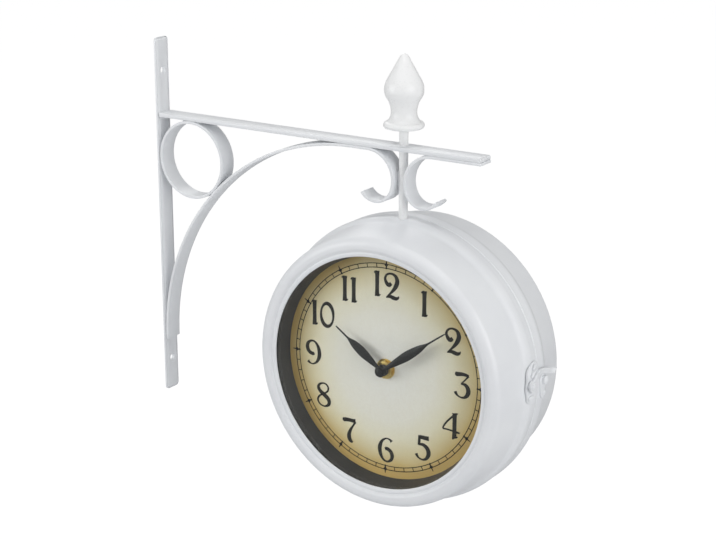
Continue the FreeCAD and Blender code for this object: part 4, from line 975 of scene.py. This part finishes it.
# ---- case ---------------------------------------------------------------------------------------
class Side(Enum):
    """The two dials of the clock."""

    FRONT = "front"
    REAR = "rear"

    @property
    def body(self) -> str:
        """The body that carries this side's shell, glass and dial."""
        return "case" if self is Side.FRONT else "door"


@dataclass
class CaseFrame:
    """The frame that both halves of the case are drawn in: its origin on the seam, +Y out through the dial."""

    x: float = 202.5
    y: float = 7.0
    z: float = -70.0

    def place(self, piece: Object, side: Side) -> Object:
        """Puts a piece drawn in the case's own frame into its side of the clock."""
        turn = Matrix.Rotation(math.pi, 4, "Z") if side is Side.FRONT else Matrix.Identity(4)
        piece.matrix_world = Matrix.Translation(mm(self.x, self.y, self.z)) @ turn
        apply_place(piece)
        return piece


# Outer radius of the CAD shell at distances from the seam, which its fastenings are shaped to.
SOLID_SKIN = ((0.0, 99.5), (5.0, 99.5), (8.0, 99.3), (10.0, 98.9), (12.0, 98.2), (14.0, 97.1), (16.0, 96.0),
              (18.0, 94.1), (20.0, 92.6), (26.0, 90.7), (36.0, 92.5), (43.0, 92.5))


def level(stations: Sequence[tuple[float, float]], place: float) -> float:
    """Reads a height off stations of (place, height), straight between them.

    Args:
        stations: the stations in rising order of place.
        place: where the height is wanted.

    Returns:
        The height there.
    """
    for (start, low), (end, high) in zip(stations, stations[1:]):
        if place <= end:
            share = max(0.0, place - start) / max(end - start, 1e-6)
            return low + share * (high - low)
    return stations[-1][1]


@dataclass
class Shell:
    """A pressed half shell: hemmed and beaded bezel, long flank, low shoulder and short drum."""

    depth: float = 43.0
    wall: float = 1.0
    opening: float = 80.0
    crest: float = 86.2
    lip_setback: float = 2.2
    widest: float = 92.5
    neck: float = 90.6
    flank_end: float = 92.4
    drum: float = 99.5
    taper: float = 0.5
    chamfer: float = 0.5
    lip_gap: float = 0.3
    lip_length: float = 4.0
    lip_root: float = 1.2
    steps: int = 256

    def lip_radius(self) -> float:
        """Radius of the roll from the crest into the opening."""
        return ((self.crest - self.opening) ** 2 + self.lip_setback ** 2) / (2 * self.lip_setback)

    def glass_seat(self) -> float:
        """Depth where the glass bears on the bezel's inner face."""
        inner = self.lip_radius()
        return self.depth - inner + math.sqrt((inner - self.wall) ** 2 - (self.crest - self.opening) ** 2)

    def outside(self) -> list[Point2]:
        """(radius, depth) of the painted face: drum, shoulder, long flank, bezel bead, groove and hem."""
        drum, depth = self.drum, self.depth
        shoulder = [(drum, 9.2, 11.0), (drum - 2.9, 14.2, 8.0)]
        bead = [(self.flank_end, depth, 6.0), (84.7, depth, 2.6)]
        hem = [(83.3, depth - 1.75, 0.9), (82.0, depth - 1.1, 0.9), (self.opening, depth - 1.5, 0.7)]
        return rounded([(drum - self.taper, self.chamfer, 0), *shoulder, *bead, *hem, (self.opening, depth - 2.4, 0)])

    def inside(self, start: float) -> list[Point2]:
        """(radius, depth) of the bare face, which holds the glass and the ring, from a depth near the seam."""
        inner, neck, depth = self.drum - self.wall, self.neck - self.wall, self.depth
        wide, floor = self.widest - self.wall, self.depth - 1.0
        shoulder = [(inner, 9.0, 10.0), (inner - 3.2, 14.6, 3.0)]
        seat = [(neck, 23.0, 5.0), (neck, 33.0, 2.0)]
        bead = [(wide, 36.0, 2.0), (wide, floor, 4.5), (84.6, floor, 3.0)]
        return rounded([(inner - self.taper, start, 0), *shoulder, *seat, *bead, (self.opening + 0.5, depth - 3.1, 0)])

    def make(self, name: str, with_lip: bool) -> Object:
        """Turns one shell in the case's own frame.

        Args:
            name: the piece's name.
            with_lip: True for the shell whose inner lip slides into the other.

        Returns:
            The shell.
        """
        section = self.outside() + self.inside(self.lip_root if with_lip else 0.0)[::-1]
        seam = self.drum - self.taper
        if with_lip:
            lip_outer = seam - self.wall - self.lip_gap
            lip_inner = lip_outer - self.wall
            section += [(lip_inner, self.lip_root + 0.4), (lip_inner, -self.lip_length),
                        (lip_outer - 0.3, -self.lip_length), (lip_outer, 0.3 - self.lip_length), (lip_outer, 0.0)]
        section += [(seam - self.chamfer, 0.0)]
        return lathe(name, section, self.steps)

    def skin(self, depth: float) -> float:
        """Returns the outer radius at a distance from the seam."""
        flank = [(point[1], point[0]) for point in self.outside() if point[1] <= self.depth - 3.0]
        return level([(0.0, flank[0][1]), *flank], depth)


@dataclass
class Case:
    """Both half shells with the hinge, the latch and the rivets."""

    shop: Shop
    frame: CaseFrame
    shell: Shell
    rod_hole: float = 3.2
    pivot_height: float = -66.5
    hub_radius: float = 4.5
    plate_shift: float = 2.8
    rivet_shift: float = 0.9
    finger_start: float = 15.0
    finger_stretch: float = 0.8
    far_side: float = 306.3
    grain: float = 0.16
    coat: float = 0.28

    def build(self) -> None:
        """Makes the shells and coats the fastenings."""
        front = self.frame.place(self.shell.make("front_shell_pressing", True), Side.FRONT)
        top = self.frame.z + self.shell.drum
        drill(front, self.rod_hole, mm(self.frame.x, 0, top - 8), mm(self.frame.x, 0, top + 8))
        smooth(front)
        self.shop.fit(front, "case", "white_enamel", Coat.ENAMEL, "front_shell")
        rear = self.frame.place(self.shell.make("rear_shell_pressing", False), Side.REAR)
        self.shop.fit(rear, "door", "white_enamel", Coat.ENAMEL, "rear_shell")
        self.paint_over("latch_plate", "case", lean=0.36, proud=0.35)
        self.paint_over("front_rivets", "case", lean=0.36, proud=0.9)
        for node, body in (("front_hinge_leaf", "case"), ("hinge_pin", "case"), ("latch_hook", "latch"),
                           ("catch_plate", "door"), ("rear_rivets", "door"), ("rear_hinge_leaf", "door")):
            self.paint_over(node, body)

    def bed(self, piece: Object, lean: float, proud: float) -> None:
        """Seats a fastening on the painted shell, whose flank stands a little proud of the solid's.

        Args:
            piece: a fastening of the case.
            lean: how far the latch side of it leans towards the dial, per millimetre below the latch's pivot.
            proud: how much higher its latch side stands than the solid does, in millimetres.
        """
        axis = mm(self.frame.x, self.frame.y, self.frame.z)
        pivot_height, hub, finger_start = self.pivot_height * MM, self.hub_radius * MM, self.finger_start * MM
        is_plate, is_hook = "plate" in piece.name, "latch_hook" in piece.name
        toward_seam = self.plate_shift if is_plate else self.rivet_shift
        for point in piece.data.vertices:
            depth = abs(point.co.y - axis.y) / MM
            moved, lift = depth, 0.0
            drop = pivot_height - point.co.z
            if point.co.x > axis.x and point.co.y < axis.y and lean and (abs(drop) > hub or is_plate):
                moved = max(0.6, depth + lean * drop / MM - toward_seam)
                point.co.y = axis.y - moved * MM
                lift = proud
            outward = Vector((point.co.x - axis.x, 0.0, point.co.z - axis.z)).normalized()
            point.co += outward * (self.shell.skin(moved) - level(SOLID_SKIN, depth) + lift) * MM
            if is_hook and point.co.y > finger_start:
                point.co.y += (point.co.y - finger_start) * self.finger_stretch
            point.co.x = min(point.co.x, self.far_side * MM)

    def paint_over(self, node: str, body: str, lean: float = 0.0, proud: float = 0.0) -> None:
        """Stands a thickly painted copy in a small fastening's place, its edges filled and rounded.

        Args:
            node: the CAD node that is copied.
            body: the body that it rides on.
            lean: lean of its latch side, see bed.
            proud: extra height of its latch side, see bed.
        """
        copy = self.shop.nodes[node].copy()
        copy.data = self.shop.nodes[node].data.copy()
        for key in list(copy.keys()):
            del copy[key]
        copy.parent = None
        copy.hide_render = False
        bpy.context.scene.collection.objects.link(copy)
        pick(copy)
        named(node + "_painted")
        close_up(copy)
        modify(copy, "REMESH", mode="VOXEL", voxel_size=self.grain * MM, adaptivity=0.0)
        modify(copy, "SMOOTH", factor=0.5, iterations=4)
        modify(copy, "DISPLACE", strength=self.coat * MM, mid_level=0.0)
        self.bed(copy, lean, proud)
        smooth(copy, 80.0)
        self.shop.fit(copy, body, "white_enamel", Coat.ENAMEL, node)


# ---- dial side: ring, dial, print, hands --------------------------------------------------------
@dataclass(frozen=True)
class Stroke:
    """One pen stroke of a figure: (right, up, width) stations in millimetres."""

    stations: tuple[tuple[float, float, float], ...]
    closed: bool = False


STEM = (Stroke(((0.0, 17.75, 3.5), (0.1, 16.6, 3.0), (0.1, 13.0, 2.65), (0.1, 9.0, 2.6), (0.1, 5.0, 2.65),
                (0.1, 1.4, 3.0), (0.2, 0.25, 3.5))),
        Stroke(((-2.5, 16.2, 0.5), (-1.4, 16.75, 1.3), (0.0, 17.2, 1.5))),
        Stroke(((0.2, 0.85, 1.5), (1.6, 1.3, 1.3), (2.7, 1.9, 0.5))))
CURL = ((6.6, 10.9, 2.0), (5.0, 9.5, 2.6), (3.2, 10.4, 2.4), (1.9, 13.4, 1.7), (3.3, 16.4, 1.3), (6.6, 17.45, 1.3),
        (9.9, 16.2, 2.1), (11.2, 13.0, 2.8), (10.2, 9.4, 2.7), (7.6, 5.6, 1.8), (4.7, 2.6, 1.0), (3.0, 0.8, 0.8))
SIX = ((11.6, 15.7, 2.1), (10.2, 16.9, 1.3), (7.4, 17.35, 0.9), (4.1, 15.0, 1.7), (2.2, 10.3, 2.7), (2.9, 5.0, 2.3),
       (5.4, 1.4, 1.4), (8.5, 0.75, 1.3), (11.3, 2.7, 2.0), (12.0, 5.9, 2.6), (10.6, 8.8, 2.4), (7.8, 10.0, 2.3),
       (6.4, 9.3, 1.7))

FIGURES: dict[str, tuple[float, tuple[Stroke, ...]]] = {
    "1": (5.4, tuple(Stroke(tuple((x + 2.7, y, w) for x, y, w in stroke.stations)) for stroke in STEM)),
    "2": (12.6, (Stroke(CURL),
                 Stroke(((2.6, 0.55, 0.6), (3.8, 1.15, 1.4), (5.7, 1.75, 2.1), (8.0, 1.25, 2.5), (10.3, 0.95, 2.2),
                         (11.8, 1.65, 1.6), (12.7, 2.9, 0.5))))),
    "3": (11.6, (Stroke(((1.5, 17.9, 1.0), (1.7, 16.3, 2.3), (2.9, 16.45, 2.5), (6.0, 16.9, 2.2), (9.0, 16.75, 1.9),
                         (10.9, 16.6, 1.2))),
                 Stroke(((10.6, 16.4, 1.3), (8.0, 13.2, 0.9), (5.3, 10.3, 0.9))),
                 Stroke(((5.0, 9.95, 0.7), (7.8, 10.1, 1.9), (10.0, 8.2, 2.7), (10.6, 5.0, 2.8), (9.0, 2.0, 2.1),
                         (6.2, 0.75, 1.2), (3.2, 1.35, 1.1), (1.5, 2.9, 1.8), (0.9, 4.2, 2.1))))),
    "4": (14.0, (Stroke(((9.7, 17.8, 3.4), (9.8, 16.4, 2.9), (9.8, 9.0, 2.65), (9.8, 1.4, 2.9), (9.9, 0.3, 3.5))),
                 Stroke(((10.0, 17.2, 1.4), (11.4, 17.6, 1.0), (12.4, 18.0, 0.4))),
                 Stroke(((9.9, 0.8, 1.4), (11.4, 1.2, 1.2), (12.4, 1.7, 0.4))),
                 Stroke(((9.4, 16.2, 1.3), (7.2, 14.2, 1.2), (4.2, 11.0, 1.15), (2.0, 7.9, 1.1), (0.9, 5.4, 1.0))),
                 Stroke(((0.8, 5.35, 1.0), (4.0, 5.45, 1.0), (8.0, 5.2, 1.15), (11.4, 4.8, 1.4), (13.9, 4.6, 1.0))))),
    "5": (11.5, (Stroke(((2.6, 16.5, 2.2), (5.0, 16.7, 2.4), (8.0, 16.6, 2.6), (10.6, 16.75, 2.9))),
                 Stroke(((3.4, 17.2, 1.9), (3.2, 14.0, 1.8), (3.0, 10.6, 1.9))),
                 Stroke(((2.6, 10.9, 1.0), (4.4, 11.5, 1.7), (6.9, 11.3, 2.3), (9.6, 9.2, 2.8), (10.5, 5.8, 2.8),
                         (9.0, 2.4, 2.0), (6.2, 0.8, 1.2), (3.2, 1.4, 1.1), (1.5, 3.0, 1.8), (0.9, 4.2, 2.1))))),
    "6": (13.3, (Stroke(SIX),)),
    "7": (10.6, (Stroke(((0.7, 17.3, 1.0), (1.1, 15.9, 2.4), (2.6, 16.2, 2.5), (5.6, 16.4, 2.3), (8.6, 16.3, 2.4),
                         (10.4, 16.5, 2.9))),
                 Stroke(((10.3, 15.9, 1.6), (8.5, 13.0, 1.2), (6.5, 9.7, 1.8), (5.2, 6.2, 2.6), (5.3, 3.2, 2.9),
                         (6.6, 1.3, 2.4), (8.2, 0.7, 1.2))))),
    "8": (12.4, (Stroke(((6.4, 17.4, 1.0), (3.4, 16.3, 1.4), (2.2, 13.8, 2.1), (3.9, 11.1, 2.5), (7.4, 8.8, 2.8),
                         (10.6, 6.0, 2.8), (10.6, 2.6, 2.1), (7.2, 0.7, 1.1), (3.3, 1.8, 1.1), (1.7, 4.8, 1.3),
                         (3.3, 7.8, 1.2), (7.0, 10.0, 1.1), (9.8, 12.2, 1.2), (10.3, 14.8, 1.3), (8.8, 16.8, 1.1)),
                        closed=True),)),
    "9": (13.3, (Stroke(tuple((13.6 - x, 18.1 - y, w) for x, y, w in SIX)),)),
    "0": (11.9, (Stroke(tuple((5.95 + (5.95 - 0.95) * math.cos(math.radians(a)),
                               9.0 + (9.0 - 0.95) * math.sin(math.radians(a)),
                               1.35 + 1.2 * (0.5 + 0.5 * math.cos(2 * math.radians(a - 62))))
                              for a in range(0, 360, 30)), closed=True),)),
}


@dataclass
class DialPrint:
    """The black print of a dial: minute track, hour marks and the twelve numbers."""

    face: float
    ink: float = 0.04
    track_outer: float = 72.8
    track_inner: float = 70.0
    line: float = 0.62
    mark_tip: float = 75.2
    mark_width: float = 3.1
    number_radius: float = 58.2
    number_height: float = 18.0
    weight: float = 1.15

    def ring(self, outer: float) -> Object:
        """One thin circle of the minute track."""
        low, high, inner = self.face - self.ink, self.face + self.ink, outer - self.line
        return lathe("track_line", [(inner, low), (outer, low), (outer, high), (inner, high)], 180)

    def flat_shape(self, outline: Sequence[Point2]) -> Object:
        """A thin flat shape from its corners, (right, up) as the dial is read, in millimetres."""
        shape = draw_chain("flat_shape", [mm(-u, self.face - self.ink, v) for u, v in outline], True)
        edit(shape)
        bpy.ops.mesh.edge_face_add()
        bpy.ops.mesh.extrude_region_move(TRANSFORM_OT_translate={"value": mm(0, 2 * self.ink, 0)})
        close_up(shape)
        return shape

    def repeat(self, shape: Object, count: int) -> None:
        """Copies a shape round the dial, the first copy in its own place."""
        edit(shape)
        bpy.ops.mesh.spin(steps=count - 1, dupli=True, angle=math.tau * (count - 1) / count, center=(0, 0, 0),
                          axis=(0, 1, 0))
        put_down()

    def pen(self, stroke: Stroke, left: float, bottom: float) -> Object:
        """Lays one stroke down as a thin ribbon.

        Args:
            stroke: the stroke.
            left: where the figure's left edge is, from the dial's middle.
            bottom: where the figure stands.

        Returns:
            The ribbon.
        """
        if stroke.closed:
            points = stroke.stations
            run = along([points[-1], *points, *points[:2]], 8)[8:-8]
        else:
            run = along(stroke.stations, 8)
        put_down()
        bpy.ops.mesh.primitive_grid_add(x_subdivisions=1, y_subdivisions=len(run) - 1, size=2.0)
        ribbon = named("stroke")
        count = len(run)
        for point in ribbon.data.vertices:
            i = round((point.co.y + 1) / 2 * (count - 1))
            before = run[i - 1] if i > 0 else (run[-2] if stroke.closed else run[i])
            after = run[i + 1] if i < count - 1 else (run[1] if stroke.closed else run[i])
            heading = Vector((after[0] - before[0], after[1] - before[1])).normalized()
            side = self.weight * run[i][2] / 2 * (1 if point.co.x > 0 else -1)
            u, v = left + run[i][0] + heading.y * side, bottom + run[i][1] - heading.x * side
            point.co = mm(-u, self.face + self.ink, v)
        modify(ribbon, "SOLIDIFY", thickness=2 * self.ink * MM, offset=-1.0)
        return ribbon

    def number(self, text: str, hour: int) -> list[Object]:
        """The strokes of one number, upright and centred on its hour."""
        gap = 1.7
        width = sum(FIGURES[figure][0] for figure in text) + gap * (len(text) - 1)
        angle = math.radians(30 * hour)
        left = self.number_radius * math.sin(angle) - width / 2
        bottom = self.number_radius * math.cos(angle) - self.number_height / 2
        strokes = []
        for figure in text:
            figure_width, parts = FIGURES[figure]
            strokes += [self.pen(part, left, bottom) for part in parts]
            left += figure_width + gap
        return strokes

    def build(self, name: str) -> Object:
        """Makes the whole print as one piece."""
        half, low, high = self.line / 2, self.track_inner - self.line / 2, self.track_outer - self.line / 2
        minute = self.flat_shape([(-half, low), (half, low), (half, high), (-half, high)])
        self.repeat(minute, 60)
        tip, wide, middle = self.mark_tip, self.mark_width / 2, self.track_outer - self.line
        foot, waist, neck = self.track_inner - 0.9, middle - 1.2, middle + 0.9
        hour = self.flat_shape([(-0.5, foot), (0.5, foot), (0.55, waist), (wide, middle), (0.5, neck), (0.25, tip),
                                (-0.25, tip), (-0.5, neck), (-wide, middle), (-0.55, waist)])
        self.repeat(hour, 12)
        pieces = [minute, hour, self.ring(self.track_outer), self.ring(self.track_inner)]
        for hour_number in range(1, 13):
            pieces += self.number(str(hour_number), hour_number)
        printed = join(pieces, name)
        edit(printed)
        bpy.ops.mesh.normals_make_consistent(inside=False)
        put_down()
        return printed


@dataclass
class Hand:
    """A leaf-shaped hand with a needle tip, crowned along its middle."""

    length: float
    width: float
    height: float
    boss: float = 3.8
    thickness: float = 0.5
    crown: float = 0.35
    stations: tuple[Point2, ...] = ((0.0, 0.36), (0.10, 0.42), (0.26, 0.76), (0.43, 1.0), (0.60, 0.76), (0.70, 0.34),
                                    (0.76, 0.20), (0.95, 0.16), (1.0, 0.10))

    def make(self, name: str, face: float, angle: float) -> Object:
        """Makes the hand in the case's own frame.

        Args:
            name: the piece's name.
            face: depth of the dial's face.
            angle: where it points, in degrees clockwise as the dial is read.

        Returns:
            The hand.
        """
        outline = along(self.stations, 12)
        low = face + self.height
        put_down()
        bpy.ops.mesh.primitive_grid_add(x_subdivisions=8, y_subdivisions=len(outline) - 1, size=2.0)
        blade = named(name)
        for point in blade.data.vertices:
            part, share = outline[round((point.co.y + 1) / 2 * (len(outline) - 1))]
            half = max(0.3, share * self.width / 2)
            rise = self.crown * min(1.0, half / 1.6) * (1 - abs(point.co.x) ** 1.5)
            point.co = mm(-point.co.x * half, low + self.thickness + rise, part * self.length)
        modify(blade, "SOLIDIFY", thickness=self.thickness * MM, offset=-1.0)
        soften(blade, 0.12, 2, 50.0)
        b, t = self.boss, self.thickness
        boss = lathe("boss", [(2.4, low), (b, low), (b, low + t), (b - 0.25, low + t + 0.3), (b - 0.9, low + t + 0.4),
                              (2.4, low + t + 0.4)], 64)
        hand = join([blade, boss], name)
        hand.rotation_euler = (0, math.radians(-angle), 0)
        apply_place(hand)
        return hand


@dataclass
class DialSide:
    """Everything that shows through one glass: ring, dial, print, nut, hands and cap."""

    shop: Shop
    frame: CaseFrame
    shell: Shell
    setback: float = 16.2
    dial_thickness: float = 0.8
    dial_hole: float = 4.2
    glass: float = 1.6
    ring_wall: float = 1.4
    ring_mouth: float = 81.0
    ring_foot: float = 77.5
    fit_gap: float = 0.3
    rest_minutes: float = 9.0
    nut_flats: float = 11.0
    nut_low: float = 0.5
    nut_thickness: float = 2.6
    thread: tuple[float, float] = (3.1, 4.7)
    thread_pitch: float = 0.75
    cap_span: tuple[float, float] = (7.8, 10.6)
    cap_radius: float = 2.8
    cap_dome: float = 1.1

    @property
    def face(self) -> float:
        """Depth of the dial's face."""
        return self.shell.depth - self.setback

    @property
    def insert(self) -> float:
        """Radius of what drops into the shell's neck."""
        return self.shell.neck - self.shell.wall - self.fit_gap

    def build(self) -> None:
        """Models the front side's pieces, then copies them for the rear."""
        masters = {
            "spacer_ring": (self.spacer_ring(), "black_metal", Coat.RING),
            "dial": (self.dial(), "printed_dial", Coat.DIAL),
            "dial_print": (DialPrint(self.face).build("dial_print"), "printed_dial", Coat.INK),
            "dial_nut": (self.nut(), "brass", Coat.BRASS),
            "bush_thread": (self.bush_thread(), "brass", Coat.BRASS),
            "cap_nut": (self.cap(), "black_metal", Coat.CAP),
            "hour_hand": (Hand(44.0, 7.2, 5.2).make("hour_hand", self.face, (10 + self.rest_minutes / 60) * 30),
                          "black_metal", Coat.HANDS),
            "minute_hand": (Hand(61.5, 6.4, 7.3).make("minute_hand", self.face, self.rest_minutes * 6),
                            "black_metal", Coat.HANDS),
        }
        extra = {"dial_print", "bush_thread"}
        for side in Side:
            bodies = {"hour_hand": side.value + "_hour", "minute_hand": side.value + "_minute",
                      "cap_nut": side.value + "_minute"}
            for key, (master, slot, coat) in masters.items():
                piece = self.frame.place(twin(master, "%s_%s_made" % (side.value, key)), side)
                replaced = [] if key in extra else ["%s_%s" % (side.value, key)]
                self.shop.fit(piece, bodies.get(key, side.body), slot, coat, *replaced)
        for master, _, _ in masters.values():
            bpy.data.objects.remove(master)

    def spacer_ring(self) -> Object:
        """The black channel ring between glass and dial."""
        top, wall = self.shell.glass_seat() - self.glass, self.ring_wall
        ring = lathe("spacer_ring", [(self.ring_mouth, top), (self.insert, top), (self.insert, top - wall),
                                     (self.ring_mouth + wall, top - wall), (self.ring_foot + wall, self.face + wall),
                                     (self.insert, self.face + wall), (self.insert, self.face),
                                     (self.ring_foot, self.face)], 192)
        soften(ring, 0.35, 3, 30.0)
        return ring

    def dial(self) -> Object:
        """The dial plate with softly broken edges."""
        back = self.face - self.dial_thickness
        plate = lathe("dial", [(self.dial_hole, back), (self.insert, back), (self.insert, self.face),
                               (self.dial_hole, self.face)], 192)
        soften(plate, 0.12, 2, 60.0)
        return plate

    def nut(self) -> Object:
        """The hexagonal brass nut on the bush, its corners chamfered."""
        put_down()
        across, thickness = self.nut_flats, self.nut_thickness
        middle = self.face + self.nut_low + thickness / 2
        bpy.ops.mesh.primitive_cylinder_add(vertices=6, radius=across / math.sqrt(3) * MM, depth=thickness * MM,
                                            location=mm(0, middle, 0), rotation=(math.radians(90), 0, 0))
        nut = named("dial_nut")
        apply_place(nut)
        put_down()
        bpy.ops.mesh.primitive_cone_add(vertices=96, radius1=9.6 * MM, radius2=4.2 * MM, depth=5.4 * MM,
                                        location=mm(0, middle + 0.2, 0), rotation=(math.radians(-90), 0, 0))
        dome = named("chamfer")
        apply_place(dome)
        modify(nut, "BOOLEAN", operation="INTERSECT", object=dome, solver="EXACT")
        bpy.data.objects.remove(dome)
        soften(nut, 0.18, 2, 28.0)
        return nut

    def bush_thread(self) -> Object:
        """The bush's brass thread above the nut, with its turned ridges."""
        low, high = (self.face + end for end in self.thread)
        bore, root, ridge, pitch, depth = 3.0, 3.75, 4.02, self.thread_pitch, low
        section = [(bore, low)]
        while depth + pitch <= high - 0.1:
            section += [(root, depth), (ridge, depth + pitch / 2)]
            depth += pitch
        section += [(root, depth), (root - 0.15, high + 0.03), (bore, high + 0.03)]
        return lathe("bush_thread", section, 64)

    def cap(self) -> Object:
        """The small domed nut that holds the minute hand."""
        low, high = (self.face + end for end in self.cap_span)
        radius, dome = self.cap_radius, self.cap_dome
        section = [(0.0, low), (radius - 0.1, low), (radius, low + 0.15), (radius, high - dome - 0.1)]
        section += bow((radius, high - dome), (0.0, high), (0.0, high - (radius ** 2 + dome ** 2) / (2 * dome)),
                       6.0)[1:]
        section[-1] = (0.0, high)
        return lathe("cap_nut", section, 64, closed=False)


@dataclass
class InnerWorks:
    """Finishes for the CAD nodes that stay: the works, the hanger and the glass."""

    shop: Shop

    def build(self) -> None:
        """Coats every node that is still shown."""
        coats = {"glass": Coat.GLASS, "dial_clips": Coat.ZINC, "movement_housing": Coat.HOUSING,
                 "movement_cover": Coat.HOUSING, "dial_washer": Coat.BRASS, "battery": Coat.CELL,
                 "contacts": Coat.ZINC, "coil": Coat.COPPER, "circuit_board": Coat.BOARD, "hour_wheel": Coat.ACETAL,
                 "minute_arbor": Coat.ACETAL, "motion_wheel": Coat.ACETAL, "setting_knob": Coat.HOUSING}
        for side in Side:
            for key, coat in coats.items():
                self.shop.paint.recoat(self.shop.nodes["%s_%s" % (side.value, key)], coat)
        for name in ("hanger_nuts", "hanger_washer", "hanger_saddle"):
            self.shop.paint.recoat(self.shop.nodes[name], Coat.ZINC)
        for name, node in self.shop.nodes.items():
            LOG.info("%s: %s", name, "replaced" if node.hide_render else "CAD solid, new finish")


# ---- studio -------------------------------------------------------------------------------------
@dataclass
class Studio:
    """Pale floor, plain soft lamps, white surround and the camera at the photograph's angle."""

    azimuth: float = 33.11
    elevation: float = 17.01
    lens: float = 85.475
    stand: tuple[float, float, float] = (766.99, -919.94, 323.38)
    floor: float = -330.0
    floor_colour: str = "EAEBED"
    floor_glow: float = 1.13
    floor_share: float = 0.86
    surround: float = 0.24

    def build(self) -> None:
        """Sets up the whole studio."""
        self.camera()
        self.ground()
        self.sky()
        for name, place, target, size, power in (
                ("overhead_softbox", mm(250, -250, 1250), mm(180, 0, 0), 1400.0, 8.0),
                ("right_softbox", mm(1500, -400, 350), mm(200, 0, -60), 900.0, 8.8),
                ("left_fill", mm(-900, -1100, 250), mm(180, 0, -40), 900.0, 8.6),
                ("back_fill", mm(-600, 900, 900), mm(180, 0, -40), 800.0, 4.2)):
            self.lamp(name, place, target, size, power)
        bpy.context.scene.view_settings.view_transform = "Standard"

    def camera(self) -> None:
        """The camera of the photograph."""
        camera = bpy.data.cameras.new("photo_camera")
        camera.lens = self.lens
        camera.sensor_width = 36.0
        camera.clip_start, camera.clip_end = 0.01, 50.0
        holder = bpy.data.objects.new("photo_camera", camera)
        bpy.context.scene.collection.objects.link(holder)
        holder.location = mm(*self.stand)
        holder.rotation_euler = (math.radians(90 - self.elevation), 0, math.radians(self.azimuth))
        bpy.context.scene.camera = holder

    def lamp(self, name: str, place: Vector, target: Vector, size: float, power: float) -> None:
        """A square soft lamp.

        Args:
            name: its name.
            place: where it stands, in metres.
            target: what it points at.
            size: its side in millimetres.
            power: its strength in watts.
        """
        light = bpy.data.lights.new(name, "AREA")
        light.shape, light.size, light.energy = "SQUARE", size * MM, power
        holder = bpy.data.objects.new(name, light)
        bpy.context.scene.collection.objects.link(holder)
        holder.location = place
        holder.rotation_euler = (target - place).to_track_quat("-Z", "Y").to_euler()

    def ground(self) -> None:
        """A pale floor that the camera sees nearly white, dim in gloss, and that keeps the clock's shadow."""
        put_down()
        bpy.ops.mesh.primitive_plane_add(size=14.0, location=(0, 0, self.floor * MM))
        floor = named("studio_floor")
        apply_place(floor)
        material = bpy.data.materials.new("pale_floor")
        material.use_nodes = True
        tree = material.node_tree
        tree.nodes.clear()
        rays = add_node(tree, "ShaderNodeLightPath")
        matt = add_node(tree, "ShaderNodeBsdfDiffuse", inputs={"Color": to_linear(self.floor_colour)})
        glow = spread(tree, rays.outputs["Is Glossy Ray"], 0.0, 1.0, self.floor_glow, self.surround)
        bright = add_node(tree, "ShaderNodeEmission", inputs={"Color": (1, 1, 1, 1), "Strength": glow})
        seen = maths(tree, "MAXIMUM", rays.outputs["Is Camera Ray"], rays.outputs["Is Glossy Ray"])
        mixed = add_node(tree, "ShaderNodeMixShader", inputs={0: maths(tree, "MULTIPLY", seen, self.floor_share),
                                                              1: matt.outputs["BSDF"], 2: bright.outputs["Emission"]})
        add_node(tree, "ShaderNodeOutputMaterial", inputs={"Surface": mixed.outputs["Shader"]})
        floor.data.materials.append(material)

    def sky(self) -> None:
        """A surround that is white to the camera and a dim, even light for everything else."""
        world = bpy.data.worlds.new("studio_surround")
        bpy.context.scene.world = world
        world.use_nodes = True
        tree = world.node_tree
        tree.nodes.clear()
        rays = add_node(tree, "ShaderNodeLightPath")
        strength = spread(tree, rays.outputs["Is Camera Ray"], 0.0, 1.0, self.surround, 1.0)
        backdrop = add_node(tree, "ShaderNodeBackground", inputs={"Color": (1, 1, 1, 1), "Strength": strength})
        add_node(tree, "ShaderNodeOutputWorld", inputs={"Surface": backdrop.outputs["Background"]})


def main() -> None:
    """Loads the frame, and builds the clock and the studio."""
    logging.basicConfig(level=logging.INFO, format="%(message)s")
    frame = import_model()
    shop = Shop(frame["nodes"], Paint())
    case_frame, shell = CaseFrame(), Shell()
    Studio().build()
    Bracket(shop).build()
    HangingRod(shop).build()
    Case(shop, case_frame, shell).build()
    DialSide(shop, case_frame, shell).build()
    InnerWorks(shop).build()


if __name__ == "__main__":
    main()
